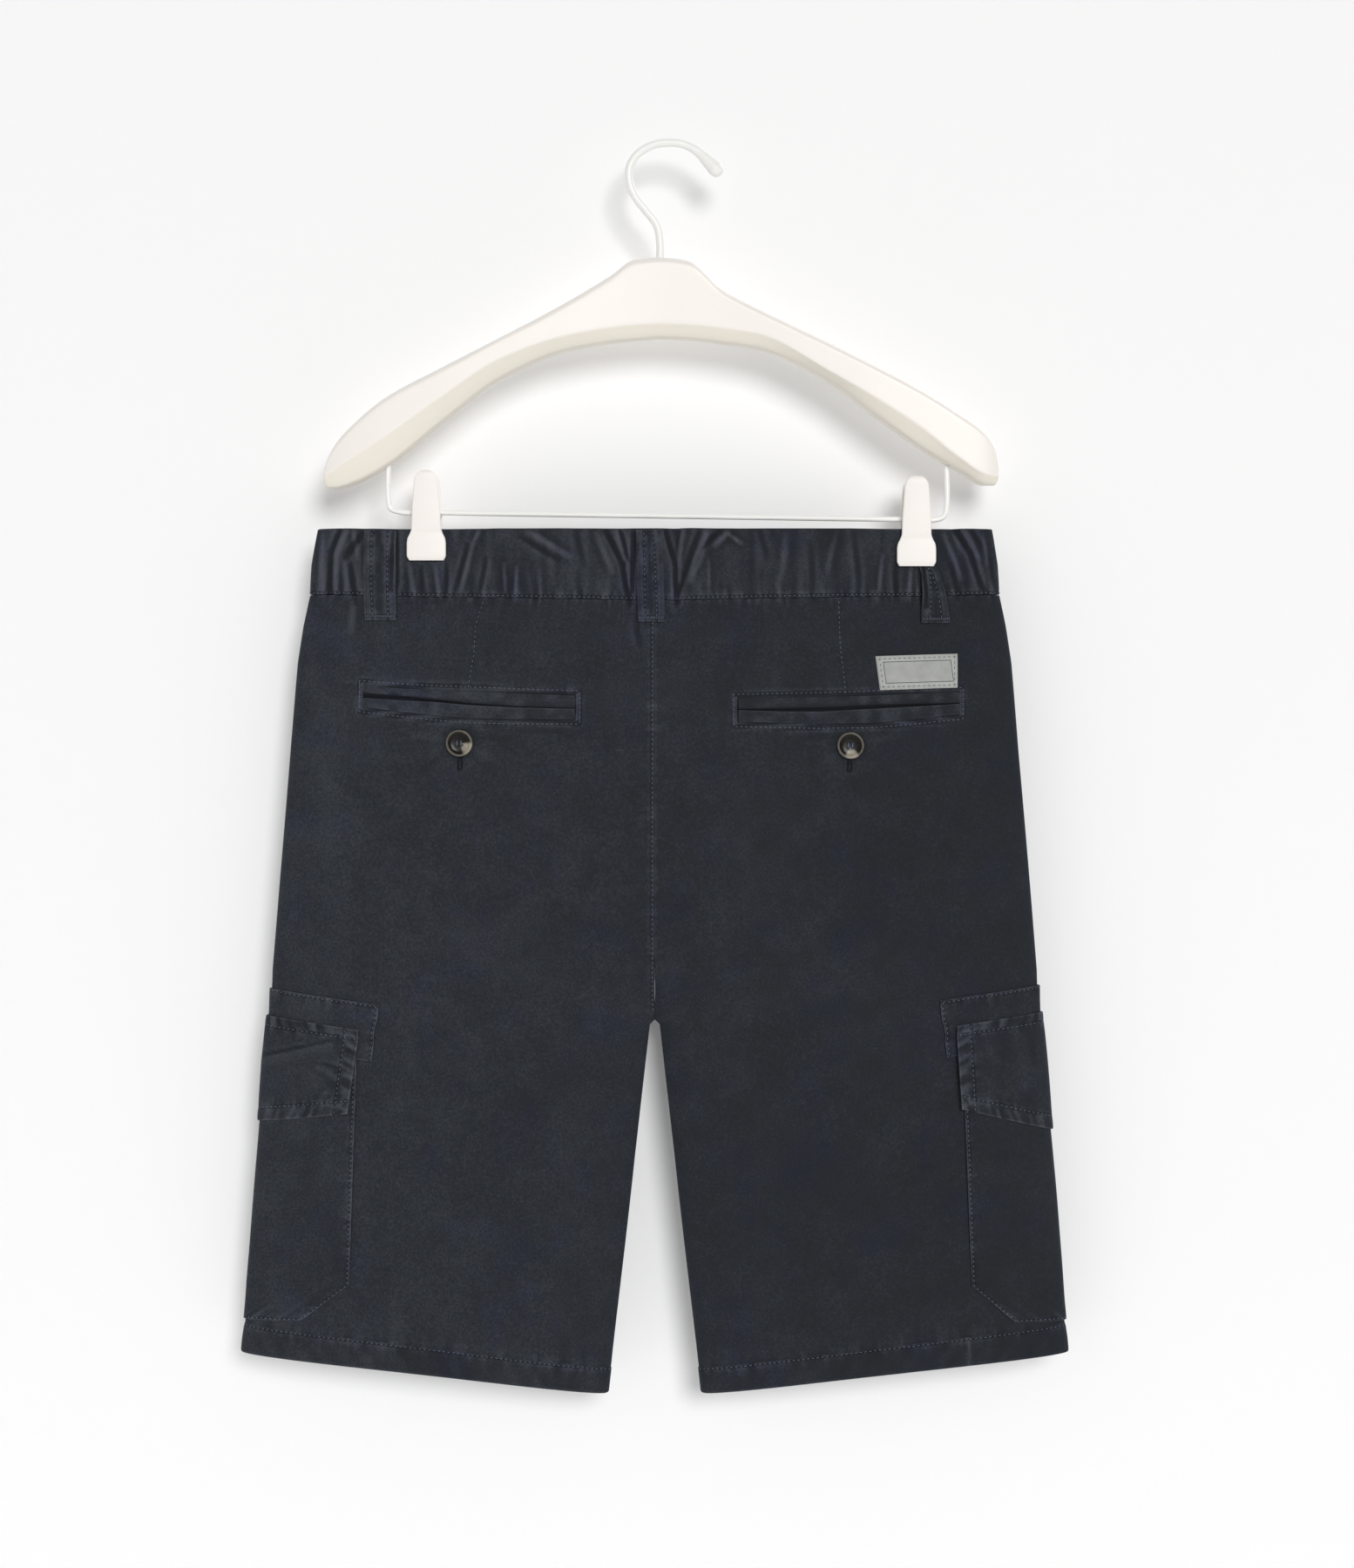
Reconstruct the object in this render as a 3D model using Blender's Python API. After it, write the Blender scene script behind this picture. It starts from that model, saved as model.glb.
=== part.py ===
"""Cargo shorts hung by the waistband from a clip hanger.

Blender units are metres, +Z is up. The origin is the inside top of the hanger's
hook, where it rests on a peg. The seat of the shorts faces -Y and the fly faces
+Y. Left and right are those of someone who looks at the seat, along +Y.

The shorts hang as a flattened, hollow tube. Every piece of cloth is a wall
between two copies of one shell: point() walks that shell from the centre line
(across = 0) to the side fold (across = 1 or -1), and its argument out moves the
point inwards or outwards. Sizes below are millimetres; put() turns them to metres.
"""
import math

import bmesh
import bpy
from mathutils import Vector

MM = 0.001
SEAT, FLY = -1, 1                # the two faces of the shorts, by the sign of y
LEFT, RIGHT = -1, 1              # the two legs, by the sign of x

# ---- the shorts' driving sizes ----
CENTRE_X = -9.0                  # the shorts' centre line; the hook rests at x = 0
GAP = 0.3                        # between pieces that meet
PANEL_WALL = 1.5                 # legs
BAND_WALL = 2.2                  # waistband and hem: folded cloth
PATCH_WALL = 1.2                 # pieces sewn onto a panel
TURN = 5.0                       # how flat the shell is before it turns at a fold

# Level lines of the pattern: height at the centre or inner leg, and at the side fold.
LEVELS = {
    "waist top": (-239.5, -239.5),
    "band foot": (-284.3, -280.5),
    "panel head": (-284.6, -280.8),
    "crotch": (-546.0, -537.0),
    "panel foot": (-762.7, -735.0),
    "hem head": (-763.0, -735.3),
    "hem foot": (-779.5, -753.7),
}

# Outline by height: half the width over both legs, and half the depth between the folds.
OUTLINE = (  # height, half width, half depth
    (-239.5, 211.0, 7.6),
    (-262.0, 214.3, 8.0),
    (-281.0, 215.5, 8.4),
    (-300.0, 219.5, 9.4),
    (-323.0, 223.0, 10.5),
    (-400.0, 229.4, 12.0),
    (-515.0, 239.0, 12.0),
    (-540.0, 239.8, 12.0),
    (-735.0, 256.1, 12.0),
    (-745.0, 257.6, 12.0),
    (-754.5, 258.6, 12.0),
    (-790.0, 261.5, 12.0),
)

# Inner leg by height: half the gap between the legs. Above the crotch it is the seat seam's.
INNER_LEG = (  # height, half gap
    (-239.0, GAP / 2),
    (-546.0, GAP / 2),
    (-549.0, 3.1),
    (-790.0, 30.3),
)
CROTCH_Z = -546.0
CLOSING = 42.0                   # height over which seat and fly draw together above the crotch
CROTCH_STEP = 0.0137             # share of the leg below the crotch where the legs part

# The clips pinch seat and fly together here.
PINCHES = (-142.5, 163.2)        # from the centre line
PINCH_FLAT, PINCH_REACH = 13.5, 46.0
PINCH_Z, PINCH_FADE_Z = -265.0, -330.0
PINCH_DEPTH = 2.5                # half the depth under a clip

# The largest folds. Each runs down the cloth and stands out of it (or in, if height < 0).
FOLDS = (  # face, x from the centre, top, foot, height, half width, lean to the right going down
    (SEAT, -196.0, -239.0, -296.0, 2.0, 7.0, -6.0),
    (SEAT, -184.5, -239.0, -300.0, -1.6, 5.0, -3.0),
    (SEAT, -104.0, -245.0, -288.0, -1.2, 7.0, 10.0),
    (SEAT, -62.0, -239.0, -286.0, 1.2, 10.0, 8.0),
    (SEAT, -22.0, -239.0, -300.0, -2.0, 6.0, 4.0),
    (SEAT, 13.0, -239.0, -305.0, -2.4, 5.0, 3.0),
    (SEAT, 24.0, -239.0, -300.0, 2.0, 6.0, -5.0),
    (SEAT, 52.0, -245.0, -290.0, -1.2, 8.0, -9.0),
    (SEAT, 187.0, -239.0, -300.0, -1.8, 5.0, 9.0),
    (SEAT, 197.0, -239.0, -296.0, 1.8, 6.0, 9.0),
    (FLY, -190.0, -239.0, -296.0, 1.5, 7.0, -4.0),
    (FLY, 190.0, -239.0, -296.0, 1.5, 7.0, 4.0),
)

# ---- what is sewn on, x from the centre line ----
BELT_LOOPS = {  # name: (face, rows of x, height, half width and stand-off, top to bottom)
    "belt_loop_seat_left": (SEAT, ((-172.0, -241.0, 10.3, 1.2), (-172.0, -250.0, 10.3, 2.4),
                                   (-171.8, -275.0, 10.3, 2.9), (-171.8, -290.0, 10.3, 1.9),
                                   (-171.8, -297.0, 10.3, 0.9))),
    "belt_loop_seat_centre": (SEAT, ((-4.0, -241.0, 7.6, 1.4), (-3.4, -250.0, 8.0, 2.6),
                                     (-2.6, -275.0, 8.3, 2.9), (-2.2, -290.0, 8.3, 2.1),
                                     (-2.2, -298.0, 8.3, 0.9))),
    "belt_loop_seat_right": (SEAT, ((169.5, -241.0, 5.0, 0.4), (170.5, -262.0, 5.0, 0.4),
                                    (173.0, -268.0, 5.6, 1.1), (174.5, -280.0, 7.0, 2.3),
                                    (176.0, -298.5, 9.0, 0.9))),
    "belt_loop_fly_left": (FLY, ((-105.0, -241.0, 7.0, 1.2), (-105.0, -250.0, 7.0, 2.4),
                                 (-105.0, -275.0, 7.0, 2.9), (-105.0, -290.0, 7.0, 1.9),
                                 (-105.0, -297.0, 7.0, 0.9))),
    "belt_loop_fly_right": (FLY, ((110.0, -241.0, 7.0, 1.2), (110.0, -250.0, 7.0, 2.4),
                                  (110.0, -275.0, 7.0, 2.9), (110.0, -290.0, 7.0, 1.9),
                                  (110.0, -297.0, 7.0, 0.9))),
}
LOOP_WALL = 1.1

WELTS = {  # name: rows of x, top edge, slit and bottom edge
    "left": ((-183.0, -337.5, -344.3, -351.0), (-160.0, -339.3, -345.3, -353.8),
             (-137.0, -340.6, -346.8, -356.2), (-115.5, -341.3, -349.2, -358.0),
             (-85.0, -342.6, -351.0, -358.6), (-52.0, -343.9, -352.0, -358.6)),
    "right": ((52.0, -346.1, -352.6, -360.2), (78.0, -345.6, -352.8, -361.0),
              (103.0, -345.0, -352.6, -361.4), (135.0, -343.9, -351.0, -361.0),
              (162.0, -342.8, -349.9, -358.6), (189.0, -341.7, -348.8, -355.5)),
}
WELT_WALL = 1.0
SLIT = 0.5                       # left open between the two welts

LABEL = ((138.4, -319.4), (189.1, -317.7), (189.1, -339.0), (141.2, -340.6))  # corners, clockwise
LABEL_WALL = 0.8

POCKET_BUTTONS = {"left": (-122.4, -373.6), "right": (122.6, -375.0)}
BUTTON_PROFILE = (  # radius, height, from the middle of the back to the middle of the front
    (0.0, 0.0), (6.6, 0.0), (8.3, 1.0), (8.3, 2.1), (7.6, 2.9), (6.7, 2.9), (5.6, 1.9), (0.0, 1.7))
BUTTON_HOLE_R, BUTTON_HOLE_AT = 0.85, 1.77   # four thread holes, from the middle
BUTTON_OFF = 0.7                 # the thread shank holds a button this far off the cloth
HOLE_CUTTER = 12.0               # length of a hole's cutter
WAIST_BUTTON = (6.0, -261.5)

FLY_LAP = 18.0                   # the left front band laps this far past the centre line
FLY_PLACKET = (  # height, edge past the centre, stitched edge
    (-285.5, 4.0, -36.0), (-330.0, 4.0, -36.0), (-375.0, 4.0, -36.0), (-410.0, 4.0, -34.5),
    (-428.0, 4.0, -29.0), (-440.0, 4.0, -19.0), (-446.0, 4.0, -7.0))

# Cargo pockets, folded round the side. Reaches run from the side fold over the seat and over the fly.
CARGO = {  # side: height at the fold, seat reaches at head and foot, the flap's point, the pouch's depth and cut
    LEFT: {"head": -526.3, "band": 68.8, "flap": 59.3, "flap_foot": 56.0, "point": 20.0,
           "pouch": 57.9, "pouch_foot": 65.9, "deep": 206.3, "cut": 29.0},
    RIGHT: {"head": -524.4, "band": 62.7, "flap": 55.0, "flap_foot": 55.6, "point": 31.0,
            "pouch": 51.4, "pouch_foot": 58.6, "deep": 209.0, "cut": 25.5},
}
BAND_TAPER = 1.5                 # the band's seat edge comes in this much at its foot
BAND_FLY_REACH = 112.0
FLAP_FLY_REACH = 102.0
POUCH_FLY_REACH = (103.0, 107.0)  # at head and foot
CARGO_OUT = 0.5                  # the pockets' clearance from the leg
BAND_DROP = 35.5                 # height of the stay band
FLAP_FROM = 16.7                 # the flap starts this far below the band's head
FLAP_DEEP = 51.9                 # the flap's depth at its corners
FLAP_POINT = -24.0               # where its point lies
POUCH_CUT = 23.5                 # height of the pouch's cut lower corners
SQUARE_DROP = 0.104              # a line square to the side fold falls this much per mm
CARGO_LEAN = 0.04                # the pockets lean this much more, to the seat

# ---- the hanger ----
HANGER_ROWS = (  # x, top, crease, underside, half depth
    (-215.6, -204.5, -208.5, -211.5, 3.0),
    (-213.8, -198.0, -207.0, -213.8, 6.5),
    (-208.0, -186.5, -203.0, -214.4, 10.0),
    (-196.0, -173.3, -195.5, -211.0, 13.0),
    (-176.5, -157.5, -183.0, -200.6, 15.0),
    (-142.0, -139.0, -158.6, -173.3, 16.0),
    (-105.0, -120.0, -134.6, -145.5, 15.0),
    (-68.0, -100.3, -121.0, -129.2, 12.5),
    (-37.0, -81.8, -115.0, -123.2, 10.0),
    (-21.5, -71.5, -113.2, -121.6, 9.0),
    (-5.5, -70.0, -112.3, -120.4, 9.0),
    (11.5, -71.9, -112.9, -121.0, 9.0),
    (34.3, -90.5, -115.5, -123.7, 10.0),
    (57.2, -102.7, -119.4, -127.5, 12.0),
    (99.7, -123.2, -142.2, -148.0, 15.0),
    (128.6, -137.7, -159.1, -169.0, 16.0),
    (157.0, -152.7, -177.7, -189.1, 15.5),
    (179.9, -166.9, -195.7, -202.8, 14.0),
    (196.7, -178.8, -206.0, -212.0, 11.0),
    (203.2, -188.5, -207.0, -212.0, 7.0),
    (205.2, -199.5, -207.0, -209.5, 3.0),
)
HOOK_R = 2.3
HOOK_ROUTE = (  # x, z, share of the wire's radius
    (-6.0, -78.0, 1.0), (-6.0, -57.0, 1.0), (-8.0, -49.0, 1.0), (-14.4, -40.5, 1.0), (-21.6, -31.0, 1.0),
    (-25.2, -20.0, 1.0), (-23.0, -9.0, 1.0), (-13.4, -0.6, 1.0), (0.0, 2.3, 1.0), (11.5, 0.3, 1.0),
    (19.0, -4.4, 1.15), (25.0, -10.2, 1.6), (29.0, -14.2, 1.9), (31.4, -16.6, 1.5), (32.4, -17.6, 0.7))
BAR_R = 1.45
BAR_ROUTE = (  # x, z
    (-175.5, -195.0), (-175.5, -219.0), (-174.0, -225.0), (-168.0, -228.4), (-151.5, -228.9), (0.0, -231.3),
    (154.2, -233.4), (163.0, -233.5), (171.0, -230.5), (173.3, -223.0), (173.3, -195.0))
SOCKET_PLAY = 0.35
CLIPS = {  # name: x, top, distance of the jaw's inner face from the middle, bar's height there
    "left": (-151.5, -203.3, 2.95, -228.9),
    "right": (154.2, -207.0, 4.45, -233.4),
}
LEAF_ROWS = (  # below the top, half width, how far outside the jaw's line, thickness
    (0.0, 3.4, 4.2, 1.2), (1.2, 5.6, 4.1, 2.0), (4.0, 7.2, 3.9, 2.3), (9.0, 7.7, 3.5, 2.3),
    (17.0, 8.2, 2.9, 2.4), (26.0, 8.9, 2.3, 2.6), (36.0, 9.2, 1.2, 2.8), (39.5, 10.4, 0.0, 3.2),
    (42.5, 11.8, 0.0, 3.4), (46.0, 12.2, 0.0, 3.4), (53.0, 12.2, 0.0, 3.2), (56.0, 10.8, 0.0, 2.4))
BARREL = (3.6, 5.6)              # radius and half length of the clip's barrel round the bar


# ---------------------------------------------------------------- materials
def material(name, colour, roughness):
    made = bpy.data.materials.new(name)
    made.use_nodes = True
    shader = made.node_tree.nodes["Principled BSDF"]
    shader.inputs["Base Color"].default_value = (*colour, 1)
    shader.inputs["Roughness"].default_value = roughness
    return made


# ---------------------------------------------------------------- the shell
def read(table, height, column):
    """The table's column at this height, between its rows."""
    for above, below in zip(table, table[1:]):
        if height >= below[0]:
            share = min(1.0, max(0.0, (above[0] - height) / (above[0] - below[0])))
            return above[column] + (below[column] - above[column]) * share
    return table[-1][column]


def ease(value, start, end):
    """0 at start, 1 at end, level at both."""
    share = min(1.0, max(0.0, (value - start) / (end - start)))
    return share * share * (3 - 2 * share)


def turned(share):
    """How much of the depth is left at this share of the way from the middle of a leg to a fold."""
    return math.sqrt(max(0.0, 1 - max(0.0, share) ** TURN))


def folds(x, z, face):
    """How far the largest folds move the cloth out at x, z."""
    moved = 0.0
    for on, middle, top, foot, height, half, lean in FOLDS:
        if on != face or not foot - 8 < z < top + 8:
            continue
        down = (top - z) / (top - foot)
        off = (x - middle - lean * down) / half
        fade = 1 - ease(down, 0.55, 1.05)
        moved += height * math.exp(-off * off) * fade
    return moved


def depth_at(x, z, across, face, out):
    """Distance of the shell from the garment's middle plane."""
    depth = read(OUTLINE, z, 2)
    for middle in PINCHES:
        pinch = 1 - ease(abs(x - middle), PINCH_FLAT, PINCH_REACH)
        pinch *= ease(z, PINCH_FADE_Z, PINCH_Z)
        depth += (PINCH_DEPTH - depth) * pinch
    closed = ease(-z, -(CROTCH_Z + CLOSING), -CROTCH_Z)
    side = turned(2 * across - 1)
    inner = 1 - closed * (1 - turned(1 - 2 * across))
    free = min(1.0, 3 * (depth - PINCH_DEPTH) / depth)
    return GAP / 2 + (depth + out) * side * inner + folds(x, z, face) * side * free


def point(across, face, level, out=0.0, seam=True):
    """A point of the shell: across runs from the centre line (0) to the right or left side fold (1, -1)."""
    side = math.copysign(1, across)
    share = abs(across)
    z = level[0] + (level[1] - level[0]) * share
    closed = ease(-z, -(CROTCH_Z + CLOSING), -CROTCH_Z)
    start = read(INNER_LEG, z, 1) - out * closed if seam else 0.0
    end = read(OUTLINE, z, 1) + out
    x = side * (start + (end - start) * share)
    return Vector((CENTRE_X + x, face * depth_at(x, z, share, face, out), z))


def over(x, z, face, out):
    """The point that lies out mm off the shell at x from the centre line and height z."""
    start, end = read(INNER_LEG, z, 1), read(OUTLINE, z, 1)
    share = min(1.0, max(0.0, (abs(x) - start) / (end - start)))
    return Vector((CENTRE_X + x, face * depth_at(x, z, share, face, out), z))


def levels(head, foot, count):
    """count + 1 level lines from one named line to another."""
    (a, b), (c, d) = LEVELS[head], LEVELS[foot]
    return [(a + (c - a) * i / count, b + (d - b) * i / count) for i in range(count + 1)]


def turn_columns():
    """Places between the middle of a leg (0.5) and its fold (1), closer together round the turn."""
    angles = (0.2, 0.4, 0.7, 1.0, 1.25, math.pi / 2)
    return [0.5, 0.59, 0.68] + [0.5 + 0.5 * math.sin(angle) ** (2 / TURN) for angle in angles]


OUTER_HALF = turn_columns()
LEG_COLUMNS = [1 - share for share in reversed(OUTER_HALF)] + OUTER_HALF[1:]


def band_columns(start, end, step=0.03):
    """Places along the waistband from start to end, where -1 and 1 are its side folds."""
    turns = [share for share in OUTER_HALF if share > 0.75]
    places = {round(sign * share, 5) for share in turns for sign in (LEFT, RIGHT)}
    count = int(1.5 / step)
    places |= {round(-0.75 + 1.5 * i / count, 5) for i in range(count + 1)}
    return [start] + sorted(p for p in places if start + 0.004 < p < end - 0.004) + [end]


# ---------------------------------------------------------------- solids
def put(name, mesh, surface):
    """Turn a bmesh in millimetres into an object of the scene, in metres."""
    bmesh.ops.recalc_face_normals(mesh, faces=mesh.faces)
    bmesh.ops.scale(mesh, vec=(MM, MM, MM), verts=mesh.verts)
    data = bpy.data.meshes.new(name)
    mesh.to_mesh(data)
    mesh.free()
    data.materials.append(surface)
    data.shade_smooth()
    data.set_sharp_from_angle(angle=math.radians(40))
    made = bpy.data.objects.new(name, data)
    bpy.context.scene.collection.objects.link(made)
    made.parent = ROOT
    return made


def wall(name, outer, inner, surface, ring=False):
    """A closed wall between two grids of points with the same rows and columns. A ring joins up."""
    mesh = bmesh.new()
    skins = [[[mesh.verts.new(p) for p in row] for row in grid] for grid in (outer, inner)]
    rows, columns = len(outer), len(outer[0])
    last = columns if ring else columns - 1
    for skin in skins:
        for i in range(rows - 1):
            for j in range(last):
                k = (j + 1) % columns
                mesh.faces.new((skin[i][j], skin[i][k], skin[i + 1][k], skin[i + 1][j]))
    out, inn = skins
    for i in (0, rows - 1):
        for j in range(last):
            k = (j + 1) % columns
            mesh.faces.new((out[i][j], out[i][k], inn[i][k], inn[i][j]))
    if not ring:
        for j in (0, columns - 1):
            for i in range(rows - 1):
                mesh.faces.new((out[i][j], out[i + 1][j], inn[i + 1][j], inn[i][j]))
    return put(name, mesh, surface)


def shell_wall(name, face, lines, columns, thickness, surface, out=0.0, seam=True):
    """A panel of the shell itself."""
    outer = [[point(c, face, line, out, seam) for c in columns] for line in lines]
    inner = [[point(c, face, line, out - thickness, seam) for c in columns] for line in lines]
    return wall(name, outer, inner, surface)


def patch(name, face, rows, thickness, surface, out=GAP):
    """A piece sewn onto a panel, from rows of (x, z) places on it."""
    outer = [[over(x, z, face, out + thickness) for x, z in row] for row in rows]
    inner = [[over(x, z, face, out) for x, z in row] for row in rows]
    return wall(name, outer, inner, surface)


def loft(name, sections, surface):
    """A closed solid through sections with the same number of points."""
    mesh = bmesh.new()
    loops = [[mesh.verts.new(p) for p in section] for section in sections]
    for a, b in zip(loops, loops[1:]):
        for i in range(len(a)):
            j = (i + 1) % len(a)
            mesh.faces.new((a[i], a[j], b[j], b[i]))
    for end in (loops[0], loops[-1]):
        mesh.faces.new(end)
    return put(name, mesh, surface)


# ---------------------------------------------------------------- legs, bands and hems
def make_legs(cloth):
    seat_rows = levels("panel head", "crotch", 10)
    just_below = tuple(a + (b - a) * CROTCH_STEP for a, b in zip(LEVELS["crotch"], LEVELS["panel foot"]))
    lines = seat_rows + [just_below] + levels("crotch", "panel foot", 6)[1:]
    for side, side_name in ((LEFT, "left"), (RIGHT, "right")):
        columns = [side * max(share, 1e-9) for share in LEG_COLUMNS]
        shell_wall(f"leg_seat_{side_name}", SEAT, lines, columns, PANEL_WALL, cloth)
        shell_wall(f"leg_fly_{side_name}", FLY, lines, columns, PANEL_WALL, cloth)


def make_waistband(cloth):
    lines = levels("waist top", "band foot", 4)
    lap = FLY_LAP / OUTLINE[1][1]
    gap = GAP / OUTLINE[1][1]
    spans = (
        ("waistband_seat", SEAT, -1.0, 1.0),
        ("waistband_fly_left", FLY, -1.0, lap),
        ("waistband_fly_right", FLY, lap + gap, 1.0),
    )
    for name, face, start, end in spans:
        columns = band_columns(start, end)
        shell_wall(name, face, lines, columns, BAND_WALL, cloth, seam=False)


def make_hems(cloth):
    lines = levels("hem head", "hem foot", 2)
    for side, side_name in ((LEFT, "left"), (RIGHT, "right")):
        columns = [side * max(share, 1e-9) for share in LEG_COLUMNS]
        grids = []
        for out in (0.2, 0.2 - BAND_WALL):
            seat = [[point(c, SEAT, line, out) for c in columns] for line in lines]
            fly = [[point(c, FLY, line, out) for c in reversed(columns)] for line in lines]
            grids.append([a + b for a, b in zip(seat, fly)])
        wall(f"hem_band_{side_name}", *grids, cloth, ring=True)


# ---------------------------------------------------------------- sewn on
def make_loops(cloth):
    for name, (face, rows) in BELT_LOOPS.items():
        outer, inner = [], []
        for x, z, half, off in rows:
            places = (x - half, x, x + half)
            outer.append([over(p, z, face, off + LOOP_WALL) for p in places])
            inner.append([over(p, z, face, off) for p in places])
        wall(name, outer, inner, cloth)


def make_welts(cloth):
    for side_name, rows in WELTS.items():
        upper = [[(x, top) for x, top, slit, foot in rows], [(x, slit + SLIT / 2) for x, top, slit, foot in rows]]
        lower = [[(x, slit - SLIT / 2) for x, top, slit, foot in rows], [(x, foot) for x, top, slit, foot in rows]]
        patch(f"welt_upper_{side_name}", SEAT, upper, WELT_WALL, cloth)
        patch(f"welt_lower_{side_name}", SEAT, lower, WELT_WALL, cloth)


def make_label(weave):
    top_left, top_right, foot_right, foot_left = LABEL
    across = [i / 4 for i in range(5)]
    rows = []
    for start, end in ((top_left, top_right), (foot_left, foot_right)):
        rows.append([tuple(a + (b - a) * s for a, b in zip(start, end)) for s in across])
    patch("label", SEAT, rows, LABEL_WALL, weave)


def make_fly(cloth):
    across = [i / 4 for i in range(5)]
    rows = [[(edge + (stitched - edge) * s, z) for s in across] for z, edge, stitched in FLY_PLACKET]
    patch("fly_placket", FLY, rows, PATCH_WALL, cloth)


def cargo_columns(reach, side, z, count):
    """Places from the side fold to reach mm over the cloth: round the turn, then count even steps."""
    start, end = read(INNER_LEG, z, 1), read(OUTLINE, z, 1)
    edge = 1 - reach / (end - start)
    turn = [share for share in reversed(OUTER_HALF) if share > 0.9]
    flat = [turn[-1] + (edge - turn[-1]) * (i + 1) / count for i in range(count)]
    return [side * share for share in turn + flat]


def cargo_grid(side, count, head, foot, seat_reach, fly_reach, out):
    """Points round the side, from the seat edge over the fold to the fly edge, head to foot.

    head(s) and foot(s) give heights at s mm from the fold, positive over the seat, and the
    reaches are functions of how far down the row is, from 0 to 1.
    """
    grid = []
    for i in range(count + 1):
        down = i / count
        guess = head(0) + (foot(0) - head(0)) * down
        row = []
        for face, reach, steps in ((SEAT, seat_reach(down), 3), (FLY, fly_reach(down), 5)):
            start, end = read(INNER_LEG, guess, 1), read(OUTLINE, guess, 1)
            places = cargo_columns(reach, side, guess, steps)
            line = []
            for place in places:
                from_fold = (1 - abs(place)) * (end - start) * -face
                z = head(from_fold) + (foot(from_fold) - head(from_fold)) * down
                line.append(point(place, face, (z, z), out))
            row += reversed(line) if face == SEAT else line
        grid.append(row)
    return grid


def make_cargo(cloth):
    for side, side_name in ((LEFT, "left"), (RIGHT, "right")):
        size = CARGO[side]

        def square(s, size=size):
            """The band's head: square to the side fold, and leaning to the seat."""
            return size["head"] - SQUARE_DROP * abs(s) - CARGO_LEAN * s

        def flap_foot(s, size=size):
            reach = size["flap"] - FLAP_POINT if s > FLAP_POINT else FLAP_FLY_REACH + FLAP_POINT
            deeper = size["point"] * max(0.0, 1 - abs(s - FLAP_POINT) / reach)
            return square(s) - FLAP_FROM - FLAP_DEEP - deeper

        def pouch_head(s):
            return square(s) - BAND_DROP - GAP

        def pouch_foot(s, size=size):
            return size["head"] - size["deep"] + 0.0 * s

        def reach(head, foot, cut=0.0, size=size):
            """A reach that changes from head to foot, and is cut back at the foot."""
            start = 1 - POUCH_CUT / (size["deep"] - BAND_DROP)
            return lambda down: head + (foot - head) * down - cut * max(0.0, down - start) / (1 - start)

        def make(name, count, head, foot, seat_reach, fly_reach, off):
            grids = [cargo_grid(side, count, head, foot, seat_reach, fly_reach, o)
                     for o in (off + PATCH_WALL, off)]
            wall(f"{name}_{side_name}", *grids, cloth)

        band = reach(size["band"], size["band"] - BAND_TAPER)
        band_fly = reach(BAND_FLY_REACH, BAND_FLY_REACH)
        make("cargo_band", 2, square, lambda s: square(s) - BAND_DROP, band, band_fly, CARGO_OUT)
        flap = reach(size["flap"], size["flap_foot"])
        flap_fly = reach(FLAP_FLY_REACH, FLAP_FLY_REACH)
        make("cargo_flap", 3, lambda s: square(s) - FLAP_FROM, flap_foot, flap, flap_fly,
             CARGO_OUT + PATCH_WALL + GAP)
        pouch = reach(size["pouch"], size["pouch_foot"], size["cut"])
        pouch_fly = reach(*POUCH_FLY_REACH, size["cut"])
        make("cargo_pouch", 8, pouch_head, pouch_foot, pouch, pouch_fly, CARGO_OUT)


def make_button(name, x, z, face, out, horn):
    """A four-hole button turned from its profile, lying on the cloth."""
    mesh = bmesh.new()
    rim = [mesh.verts.new((r, 0, h)) for r, h in BUTTON_PROFILE]
    edges = [mesh.edges.new(pair) for pair in zip(rim, rim[1:])]
    bmesh.ops.spin(mesh, geom=rim + edges, axis=(0, 0, 1), cent=(0, 0, 0), angle=math.tau, steps=20)
    bmesh.ops.remove_doubles(mesh, verts=mesh.verts, dist=1e-3)
    button = put(name, mesh, horn)
    place = over(x, z, face, out)
    button.location = place * MM
    button.rotation_euler = (-face * math.pi / 2, 0, 0)
    cutter_mesh = bmesh.new()
    for i in range(4):
        angle = math.tau * (i + 0.5) / 4
        made = bmesh.ops.create_cone(cutter_mesh, segments=8, radius1=BUTTON_HOLE_R, radius2=BUTTON_HOLE_R,
                                     depth=HOLE_CUTTER, cap_ends=True)
        shift = Vector((math.cos(angle), math.sin(angle), 0)) * BUTTON_HOLE_AT
        bmesh.ops.translate(cutter_mesh, vec=shift, verts=made["verts"])
    cutter = put(name + "_holes", cutter_mesh, horn)
    cut_with(button, cutter)
    cutter.location, cutter.rotation_euler = button.location, button.rotation_euler


def cut_with(obj, cutter):
    """Cut obj with the cutter, which stays in the file as a hidden guide."""
    cutter.hide_render = True
    cutter.display_type = "WIRE"
    boolean = obj.modifiers.new("cut " + cutter.name, "BOOLEAN")
    boolean.operation = "DIFFERENCE"
    boolean.solver = "EXACT"
    boolean.object = cutter


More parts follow.
